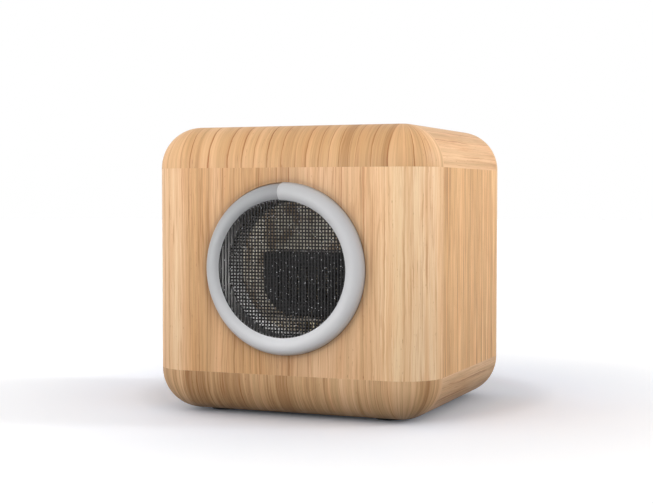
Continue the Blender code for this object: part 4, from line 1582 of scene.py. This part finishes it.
@dataclass
class RingLight(SubAssembly):
    """The ring light and what its bore holds: two wire grilles and the sleeves between them.

    Its shapes are built about the ring's axis, with +Z out of the front, and then turned.

    Attributes:
        tube_radius: The radius of the ring's tube.
        stand_off: How far the tube's middle stands in front of the board.
        seat_depth: How deep the ring sits in the board.
        swell: How much fuller the tube is at its start than at its end.
        fullness: Shares of that swell, at shares of the way round.
        nose_length: How far the tube's middle runs past its rims at the rounded start.
        nose_gap: The gap between the end and the start.
        nose_blend: The angle over which the nose fades into the tube.
        barrel_inset: How far the barrel's bore lies inside the tube's middle.
        barrel_wall: The barrel's wall.
        lip_overlap: How far the tube's inner edge reaches over the grille.
        lip_edge: The thickness of that edge.
        steps: The steps round the ring.
        tube_steps: The steps round the tube's section.
        wire_pitch: The distance between wires.
        wire_radius: The radius of a wire.
        wire_sides: The number of a wire's sides.
        rim_width: The width of the grilles' rims.
        sleeve_wall: The wall of the sleeves.
        sleeve_edge: The softening of their edges.
        sleeve_steps: The steps round the sleeves and the grilles' rims.
    """

    tube_radius: float = 0.00315
    stand_off: float = 0.00044
    seat_depth: float = 0.0019
    swell: float = 0.00035
    fullness: Pairs = (
        *((0.0, 1.0), (0.55, 1.0), (0.68, -0.4), (0.8, -0.5), (0.92, 0.0), (1.0, 0.0)),
    )
    nose_length: float = 0.0007
    nose_gap: float = 0.0004
    nose_blend: float = math.radians(24)
    barrel_inset: float = 0.0016
    barrel_wall: float = 0.0014
    lip_overlap: float = 0.0007
    lip_edge: float = 0.0001
    steps: int = 288
    tube_steps: int = 40
    wire_pitch: float = 0.001163
    wire_radius: float = 0.00028
    wire_sides: int = 10
    rim_width: float = 0.0005
    sleeve_wall: float = 0.0010
    sleeve_edge: float = 0.0001
    sleeve_steps: int = 144

    def __post_init__(self) -> None:
        """Reads the ring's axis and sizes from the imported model."""
        grille, barrel = Box.of("front_grille"), Box.of("light_ring")
        self.face_y = Box.of("front_panel").low.y
        self.axis = Vector((grille.middle.x, self.face_y, grille.middle.z))
        self.turn = Matrix.Translation(self.axis) @ FACING_FRONT
        self.barrel_end = self.face_y - barrel.high.y
        self.outer = (barrel.size.x - self.swell) / 2
        self.radius = self.outer - self.tube_radius
        self.sleeve_radius = grille.size.x / 2

    def build(self) -> None:
        """Makes the ring, the grilles and the sleeves."""
        self.make_ring()
        self.make_grille("upright_wires", "front_grille", 0.0)
        self.make_grille("level_wires", "rear_grille", math.pi / 2)
        self.make_sleeve("front_sleeve", "grille_spacer")
        self.make_sleeve("back_sleeve", "rear_sleeve")

    def heights(self, node: str) -> Pair:
        """How far a node's front and back lie in front of the board's face."""
        box = Box.of(node)
        return self.face_y - box.low.y, self.face_y - box.high.y

    def place(self, bm: BMesh) -> None:
        """Turns a shape to the front and moves it to the ring's axis."""
        bmesh.ops.transform(bm, matrix=self.turn, verts=bm.verts)

    def make_ring(self) -> None:
        """Makes the tube with its rounded start, the lip over the grille and the barrel."""
        bore = self.radius - self.barrel_inset
        lip = bore - self.lip_overlap
        lip_angle = math.acos((lip - self.radius) / self.tube_radius)
        lip_seat = self.stand_off + self.tube_radius * math.sin(lip_angle) - self.lip_edge
        tube = (self.radius, self.stand_off)
        profile = arc(tube, self.tube_radius, lip_angle, 0.0, self.tube_steps)
        profile += [
            (self.outer, 0.0),
            (self.outer, -self.seat_depth),
            (bore + self.barrel_wall, -self.seat_depth),
            (bore + self.barrel_wall, self.barrel_end),
            (bore, self.barrel_end),
            (bore, lip_seat),
            (lip, lip_seat),
        ]
        bm = bmesh.new()
        spin_profile(bm, profile, self.steps)
        clock = bm.verts.layers.float.new(CLOCK)
        for vert in bm.verts:
            self.raise_start(vert, clock)
        self.place(bm)
        self.add("ring_diffuser", bm, DIFFUSER, "diffuser", ["light_ring"])

    def raise_start(self, vert: BMVert, clock: BMLayerItem) -> None:
        """Makes the tube start full and rounded at the top of the ring and thin out clockwise.

        Args:
            vert: A vertex of the plain ring, which is moved.
            clock: The layer that takes its share of the way round.
        """
        radius = math.hypot(vert.co.x, vert.co.y)
        whole = math.tau - self.nose_gap / self.radius
        clockwise = math.atan2(vert.co.x, vert.co.y) / math.tau + TINY
        share = clockwise % 1.0 * self.steps / (self.steps - 1)
        turn = share * whole
        out, up = radius - self.radius, vert.co.z - self.stand_off
        if abs(math.hypot(out, up) - self.tube_radius) < TINY and vert.co.z > 0:
            growth = self.swell * self.fullness_at(share) / self.tube_radius
            radius += out * growth
            vert.co.z += up * growth
            beside = min(abs(out) / self.tube_radius, 1.0)
            near = max(0.0, 1 - min(turn, math.tau - turn) / self.nose_blend)
            turn -= self.nose_length / self.radius * math.sqrt(1 - beside**2) * near
        vert.co.x, vert.co.y = radius * math.sin(turn), radius * math.cos(turn)
        vert[clock] = share

    def fullness_at(self, share: float) -> float:
        """How full the tube is at a share of the way round.

        Args:
            share: The share.

        Returns:
            The share of the swell that the tube has there.
        """
        for (start, first), (end, last) in zip(self.fullness, self.fullness[1:]):
            if share <= end:
                return first + (last - first) * (share - start) / (end - start)
        return self.fullness[-1][1]

    def make_grille(self, name: str, node: str, turn: float) -> None:
        """Makes a grille: parallel wires in a thin rim.

        Args:
            name: The piece's name.
            node: The node that it stands for.
            turn: How far the wires are turned from upright.
        """
        front, back = self.heights(node)
        opening = self.sleeve_radius - self.rim_width
        middle = (front + back) / 2
        rim = [
            (self.sleeve_radius, front),
            (self.sleeve_radius, back),
            (opening, back),
            (opening, front),
        ]
        bm = bmesh.new()
        spin_profile(bm, rim, self.sleeve_steps)
        count = 2 * round(opening / self.wire_pitch)
        for number in range(count):
            across = (number - (count - 1) / 2) * self.wire_pitch
            length = 2 * math.sqrt((opening + self.rim_width / 2) ** 2 - across**2)
            stand = Matrix.Translation((across, 0.0, middle)) @ FACING_FRONT
            bmesh.ops.create_cone(
                bm,
                cap_ends=True,
                segments=self.wire_sides,
                radius1=self.wire_radius,
                radius2=self.wire_radius,
                depth=length,
                matrix=Matrix.Rotation(turn, 4, "Z") @ stand,
            )
        self.place(bm)
        self.add(name, bm, BLACK_WIRE, "black_wire", [node], sharp=60.0)

    def make_sleeve(self, name: str, node: str) -> None:
        """Makes a plain sleeve with soft edges.

        Args:
            name: The piece's name.
            node: The node that it stands for.
        """
        front, back = self.heights(node)
        outer, inner = self.sleeve_radius, self.sleeve_radius - self.sleeve_wall
        edge = self.sleeve_edge
        profile = [
            (outer - edge, front),
            (outer, front - edge),
            (outer, back + edge),
            (outer - edge, back),
            (inner + edge, back),
            (inner, back + edge),
            (inner, front - edge),
            (inner + edge, front),
        ]
        bm = bmesh.new()
        spin_profile(bm, profile, self.sleeve_steps)
        self.place(bm)
        self.add(name, bm, SLEEVE_PLASTIC, "grey_plastic", [node])


@dataclass
class SensorCover(SubAssembly):
    """The slotted black cover over the sensors.

    Attributes:
        wall: Its wall.
        corner: The radius of its lower corners.
        corner_steps: The faces round each of them.
        top_corner: The radius of its upper corners.
        top_corner_steps: The faces round each of them.
        front_edge: The radius round its front.
        front_edge_steps: The faces round it.
        slot_count: The number of its slots.
        slot_pitch: The distance between slots.
        slot_width: The width of a slot.
        slot_height: The height of a slot.
        slot_end: The radius of a slot's ends, as a share of its width.
    """

    wall: float = 0.0015
    corner: float = 0.0125
    corner_steps: int = 14
    top_corner: float = 0.0015
    top_corner_steps: int = 6
    front_edge: float = 0.0006
    front_edge_steps: int = 3
    slot_count: int = 7
    slot_pitch: float = 0.0036
    slot_width: float = 0.0014
    slot_height: float = 0.0120
    slot_end: float = 0.49

    def build(self) -> None:
        """Makes the cover."""
        box = Box.of("sensor_housing")
        bm = bmesh.new()
        new_block(bm, box)
        deep = [edge for edge in bm.edges if runs_along(edge, 1)]
        lower = [edge for edge in deep if edge.verts[0].co.z < box.middle.z]
        round_off(bm, lower, self.corner, self.corner_steps)
        upper = [e for e in bm.edges if runs_along(e, 1) and e.verts[0].co.z > box.high.z - TINY]
        round_off(bm, upper, self.top_corner, self.top_corner_steps)
        bmesh.ops.delete(bm, geom=[side_face(bm, Side.BACK)], context="FACES_ONLY")
        front = side_face(bm, Side.FRONT)
        round_off(bm, front.edges, self.front_edge, self.front_edge_steps)
        outline = outline_of(bm, side_face(bm, Side.FRONT))
        size = (self.slot_width, self.slot_height, self.slot_end * self.slot_width)
        slots = []
        for number in range(self.slot_count):
            across = box.middle.x + (number - (self.slot_count - 1) / 2) * self.slot_pitch
            centre = Vector((across, box.low.y, box.middle.z))
            slots.append(new_rounded_outline(bm, centre, *size))
        fill_between(bm, outline, *slots)
        piece = self.add("sensor_cover", bm, COVER_PLASTIC, "black_plastic", ["sensor_housing"])
        wall = piece.modifiers.new("wall", "SOLIDIFY")
        wall.thickness = self.wall
        wall.offset = -1.0
        wall.use_even_offset = True


@dataclass
class RearControls(SubAssembly):
    """What the back board's openings show: the plug receptacle's shell and the push button.

    Attributes:
        shell_corner: The radius of the receptacle's corners.
        shell_steps: The faces round each of them.
        shell_wall: The receptacle's wall.
        mouth_depth: The depth of its mouth.
        tongue_width: The width of the tongue in its mouth.
        tongue_thickness: The tongue's thickness.
        tongue_length: The tongue's length.
        tongue_edge: The softening of its edges.
        button_radius: The radius of the button's cap.
        button_edge: The radius of the cap's edge.
        button_edge_steps: The faces round it.
        button_dish: The depth of the dish in the cap.
        button_dish_steps: The faces from its middle to its rim.
        flange_thickness: The thickness of the button's flange.
    """

    shell_corner: float = 0.0015
    shell_steps: int = 8
    shell_wall: float = 0.0003
    mouth_depth: float = 0.0060
    tongue_width: float = 0.0067
    tongue_thickness: float = 0.0007
    tongue_length: float = 0.0048
    tongue_edge: float = 0.00014
    button_radius: float = 0.0030
    button_edge: float = 0.0005
    button_edge_steps: int = 6
    button_dish: float = 0.0003
    button_dish_steps: int = 4
    flange_thickness: float = 0.0012

    def build(self) -> None:
        """Makes the receptacle and the button."""
        self.make_receptacle()
        self.make_button()

    def make_receptacle(self) -> None:
        """Makes a rounded shell with a tongue in its mouth."""
        box = Box.of("usb_c_receptacle")
        bm = bmesh.new()
        new_block(bm, box)
        deep = [edge for edge in bm.edges if runs_along(edge, 1)]
        round_off(bm, deep, self.shell_corner, self.shell_steps)
        mouth = side_face(bm, Side.BACK)
        bmesh.ops.inset_region(bm, faces=[mouth], thickness=self.shell_wall, use_even_offset=True)
        made = bmesh.ops.extrude_face_region(bm, geom=[mouth])["geom"]
        floor = [item for item in made if isinstance(item, BMVert)]
        bmesh.ops.translate(bm, vec=(0.0, -self.mouth_depth, 0.0), verts=floor)
        bmesh.ops.delete(bm, geom=[mouth], context="FACES_ONLY")
        half = Vector((self.tongue_width / 2, 0.0, self.tongue_thickness / 2))
        root_y = box.high.y - self.mouth_depth - self.shell_wall / 2
        low = Vector((box.middle.x, root_y, box.middle.z)) - half
        high = low + 2 * half + Vector((0.0, self.tongue_length, 0.0))
        tongue = new_block(bm, Box(low, high))
        edges = {edge for vert in tongue for edge in vert.link_edges}
        round_off(bm, edges, self.tongue_edge, SOFT_STEPS)
        finish = SLOT_FINISHES["steel"]
        self.add("plug_receptacle", bm, finish, "steel", ["usb_c_receptacle"], sharp=50.0)

    def make_button(self) -> None:
        """Makes the button: a dished cap on a flange."""
        box = Box.of("push_button")
        height, flange = box.size.y, box.size.x / 2
        rim = self.button_radius - self.button_edge
        centre = (rim, height - self.button_edge)
        edge = arc(centre, self.button_edge, math.pi / 2, 0.0, self.button_edge_steps)
        shares = [step / self.button_dish_steps for step in range(self.button_dish_steps)]
        dish = [(rim * share, height - self.button_dish * (1 - share**2)) for share in shares]
        top = self.flange_thickness
        under = [(self.button_radius, top), (flange, top), (flange, 0.0), (0.0, 0.0)]
        bm = bmesh.new()
        spin_profile(bm, dish + edge + under, ROUND_STEPS, closed=False)
        place = Matrix.Translation(at_depth(box.middle, box.low.y)) @ FACING_BACK
        bmesh.ops.transform(bm, matrix=place, verts=bm.verts)
        self.add("button_cap", bm, BUTTON_PLASTIC, "grey_plastic", ["push_button"], Body.BUTTON)


@dataclass
class Feet(SubAssembly):
    """The four rubber feet.

    Attributes:
        edge: The radius of a foot's lower edge.
        edge_steps: The faces round it.
        count: The number of feet.
    """

    edge: float = 0.0004
    edge_steps: int = 5
    count: int = 4

    def build(self) -> None:
        """Makes the feet."""
        for number in range(1, self.count + 1):
            box = Box.of(f"foot_{number}")
            radius, height = box.size.x / 2, box.size.z
            centre = (radius - self.edge, self.edge)
            lower = arc(centre, self.edge, 0.0, -math.pi / 2, self.edge_steps)
            profile = [(0.0, height), (radius, height), *lower, (0.0, 0.0)]
            bm = bmesh.new()
            spin_profile(bm, profile, ROUND_STEPS, closed=False)
            place = Vector((box.middle.x, box.middle.y, box.low.z))
            bmesh.ops.translate(bm, vec=place, verts=bm.verts)
            finish = SLOT_FINISHES["rubber"]
            self.add(f"foot_pad_{number}", bm, finish, "rubber", [f"foot_{number}"])


def map_block_grain(node: bpy.types.Object) -> None:
    """Gives a carried-over block a grain map, read from the places of its faces' corners.

    Args:
        node: The block's node.
    """
    layer = node.data.uv_layers.new(name=GRAIN_MAP)
    for loop in node.data.loops:
        place = node.data.vertices[loop.vertex_index].co
        layer.data[loop.index].uv = (MILLIMETRES * (place.x + place.y), MILLIMETRES * place.z)


def dress_nodes() -> None:
    """Gives every node that still shows the finish of its material slot."""
    for entry in frame["record"]["subparts"]:
        name, slot = entry["node"], entry["material_slot"]
        node = frame["nodes"][name]
        if node.hide_render:
            continue
        if slot == "oak":
            map_block_grain(node)
        node.data.materials.clear()
        node.data.materials.append(material_of(SLOT_FINISHES[slot]))
        LOG.info("%s takes the finish of %s", name, slot)


# Studio


@dataclass(frozen=True)
class SoftLamp:
    """A round lamp with a soft beam, which the camera doesn't see.

    Attributes:
        name: The lamp's name.
        place: Its place from the case's middle.
        target: The point that it faces, from the case's middle.
        size: Its width.
        power: Its power in watts.
        spread: The width of its beam.
    """

    name: str
    place: tuple[float, float, float]
    target: tuple[float, float, float]
    size: float
    power: float
    spread: float = math.pi

    def build(self, middle: Vector) -> None:
        """Adds the lamp.

        Args:
            middle: The case's middle.
        """
        lamp = bpy.data.lights.new(self.name, "AREA")
        lamp.shape = "DISK"
        lamp.size = self.size
        lamp.energy = self.power
        lamp.spread = self.spread
        stand = new_object(self.name, lamp)
        stand.location = middle + Vector(self.place)
        facing = Vector(self.place) - Vector(self.target)
        stand.rotation_euler = facing.to_track_quat("Z", "Y").to_euler()
        stand.visible_camera = False


LAMPS = (
    SoftLamp("front_lamp", (-0.20, -0.75, 0.35), (0.0, 0.0, 0.22), 0.5, 0.041, math.radians(25)),
    SoftLamp("level_lamp", (-0.20, -0.75, 0.10), (0.0, 0.0, 0.16), 0.4, 0.128, math.radians(18)),
    SoftLamp("left_lamp", (-0.55, -0.55, 0.20), (0.0, 0.0, 0.14), 0.4, 0.076, math.radians(25)),
    SoftLamp("right_lamp", (0.63, 0.20, 0.38), (0.0, 0.0, 0.18), 0.4, 0.243, math.radians(18)),
    SoftLamp(
        "grille_lamp",
        (0.0205, -0.0467, 0.001),
        (-0.02, -0.0462, 0.001),
        size=0.004,
        power=0.0006,
        spread=math.radians(50),
    ),
    SoftLamp(
        "bore_lamp",
        (0.016, -0.0385, 0.008),
        (-0.014, -0.0405, -0.018),
        size=0.006,
        power=0.0024,
        spread=math.radians(70),
    ),
    SoftLamp("inner_lamp", (0.018, -0.012, 0.022), (-0.02, 0.035, -0.005), 0.02, 0.025),
    SoftLamp("under_lamp", (-0.002, -0.016, -0.021), (-0.03, 0.030, -0.026), 0.012, 0.009),
)


@dataclass
class Studio:
    """The floor, the light and the camera.

    Attributes:
        floor_radius: The radius of the round floor.
        floor_steps: The edges round it.
        floor_seen: The floor's brightness to the camera.
        shade: Colours of the shadow painted on the floor round the object, which also cancel the warm
            light that the wood throws on it.
        shade_centre: The middle of that shade.
        shade_reach: The distance at which it ends.
        floor_bounce: The floor's brightness to all other light.
        sky: The strength of the light from the horizon, which fades to nothing straight above.
        camera_offset: The camera's place from the case's middle.
        yaw: How far the camera is turned to the left.
        pitch: How far it is tipped up.
        lens: Its focal length in millimetres.
        film: The width of its film in millimetres.
        nearest: The distance within which it sees nothing.
    """

    floor_radius: float = 4.0
    floor_steps: int = 96
    floor_seen: float = 1.6
    shade: Stops = (
        (0.0, (0.5, 0.525, 0.575)),
        (0.3, (0.56, 0.588, 0.64)),
        (0.42, (0.62, 0.65, 0.71)),
        (0.49, (0.76, 0.793, 0.86)),
        (0.56, (0.8, 0.832, 0.897)),
        (0.65, (0.845, 0.87, 0.918)),
        (0.8, (0.905, 0.922, 0.953)),
        (1.0, (1.0, 1.0, 1.0)),
    )
    shade_centre: tuple[float, float, float] = (-0.006, 0.028, 0.0)
    shade_reach: float = 0.17
    floor_bounce: float = 0.05
    sky: float = 2.03
    camera_offset: tuple[float, float, float] = (0.18415, -0.46469, 0.02553)
    yaw: float = math.radians(21.995)
    pitch: float = math.radians(-2.365)
    lens: float = 74.27
    film: float = 36.0
    nearest: float = 0.01

    def __post_init__(self) -> None:
        """Finds the case's middle."""
        self.middle = case_box().middle

    def build(self) -> None:
        """Makes the studio round the object."""
        self.make_world()
        self.make_floor()
        for lamp in LAMPS:
            lamp.build(self.middle)
        self.make_camera()

    def seen(self, graph: Graph) -> Value:
        """1 for the rays that show the background, from the camera or by way of metal or glass.

        Args:
            graph: The graph of the material or world that asks.

        Returns:
            1 for those rays and 0 for all other light.
        """
        path = graph.node("ShaderNodeLightPath")
        seen = path.output("Is Camera Ray")
        for ray in ("Is Glossy Ray", "Is Transmission Ray"):
            seen = seen.math("MAXIMUM", seen, path.output(ray))
        return seen

    def make_world(self) -> None:
        """Makes light from the horizon, and a plain white background to the camera."""
        world = bpy.data.worlds.new("white_room")
        bpy.context.scene.world = world
        graph = Graph(world)
        seen = self.seen(graph)
        way = graph.node("ShaderNodeNewGeometry", output="Incoming")
        height = graph.node("ShaderNodeSeparateXYZ", None, {0: way}).output(2)
        light = (1.0 - height.size()) * self.sky
        strength = seen + (1.0 - seen) * light
        sky = graph.node("ShaderNodeBackground", None, {"Color": (1.0,) * 3, "Strength": strength})
        graph.node("ShaderNodeOutputWorld", None, {"Surface": sky})

    def make_floor(self) -> None:
        """Makes a white floor that keeps the object's shadow, with more shadow painted round the
        object.
        """
        bm = bmesh.new()
        steps, radius = self.floor_steps, self.floor_radius
        bmesh.ops.create_circle(bm, cap_ends=True, segments=steps, radius=radius)
        floor = new_object("floor", mesh_of("floor", bm))
        material = bpy.data.materials.new("floor_white")
        graph = Graph(material)
        # Painted shadow: the floor's colour darker and cooler round the object.
        spot = graph.node("ShaderNodeTexCoord", output="Object")
        reach = graph.distance(spot, self.shade_centre)
        shade = graph.ramp(reach / self.shade_reach, self.shade)
        white = graph.mix(1.0, shade, (self.floor_seen,) * 3, "MULTIPLY")
        bounce = graph.node("ShaderNodeBsdfDiffuse", None, {"Color": (self.floor_bounce,) * 3})
        shown = graph.node("ShaderNodeBsdfDiffuse", None, {"Color": white})
        both = graph.node("ShaderNodeMixShader", None, {0: self.seen(graph), 1: bounce, 2: shown})
        graph.node("ShaderNodeOutputMaterial", None, {"Surface": both})
        floor.data.materials.append(material)

    def make_camera(self) -> None:
        """Makes the camera, without depth of field."""
        lens = bpy.data.cameras.new("camera")
        lens.lens = self.lens
        lens.sensor_width = self.film
        lens.clip_start = self.nearest
        camera = new_object("camera", lens)
        camera.location = self.middle + Vector(self.camera_offset)
        camera.rotation_euler = (math.pi / 2 + self.pitch, 0.0, self.yaw)
        bpy.context.scene.camera = camera


def main() -> None:
    """Builds the studio and the sub-assemblies, and dresses what is carried over."""
    logging.basicConfig(level=logging.INFO, format="%(name)s: %(message)s")
    Studio().build()
    for assembly in (OakCase(), RingLight(), SensorCover(), RearControls(), Feet()):
        LOG.info("building %s", type(assembly).__name__)
        assembly.build()
    dress_nodes()
    bpy.context.scene.view_settings.view_transform = "Standard"


if __name__ == "__main__":
    main()
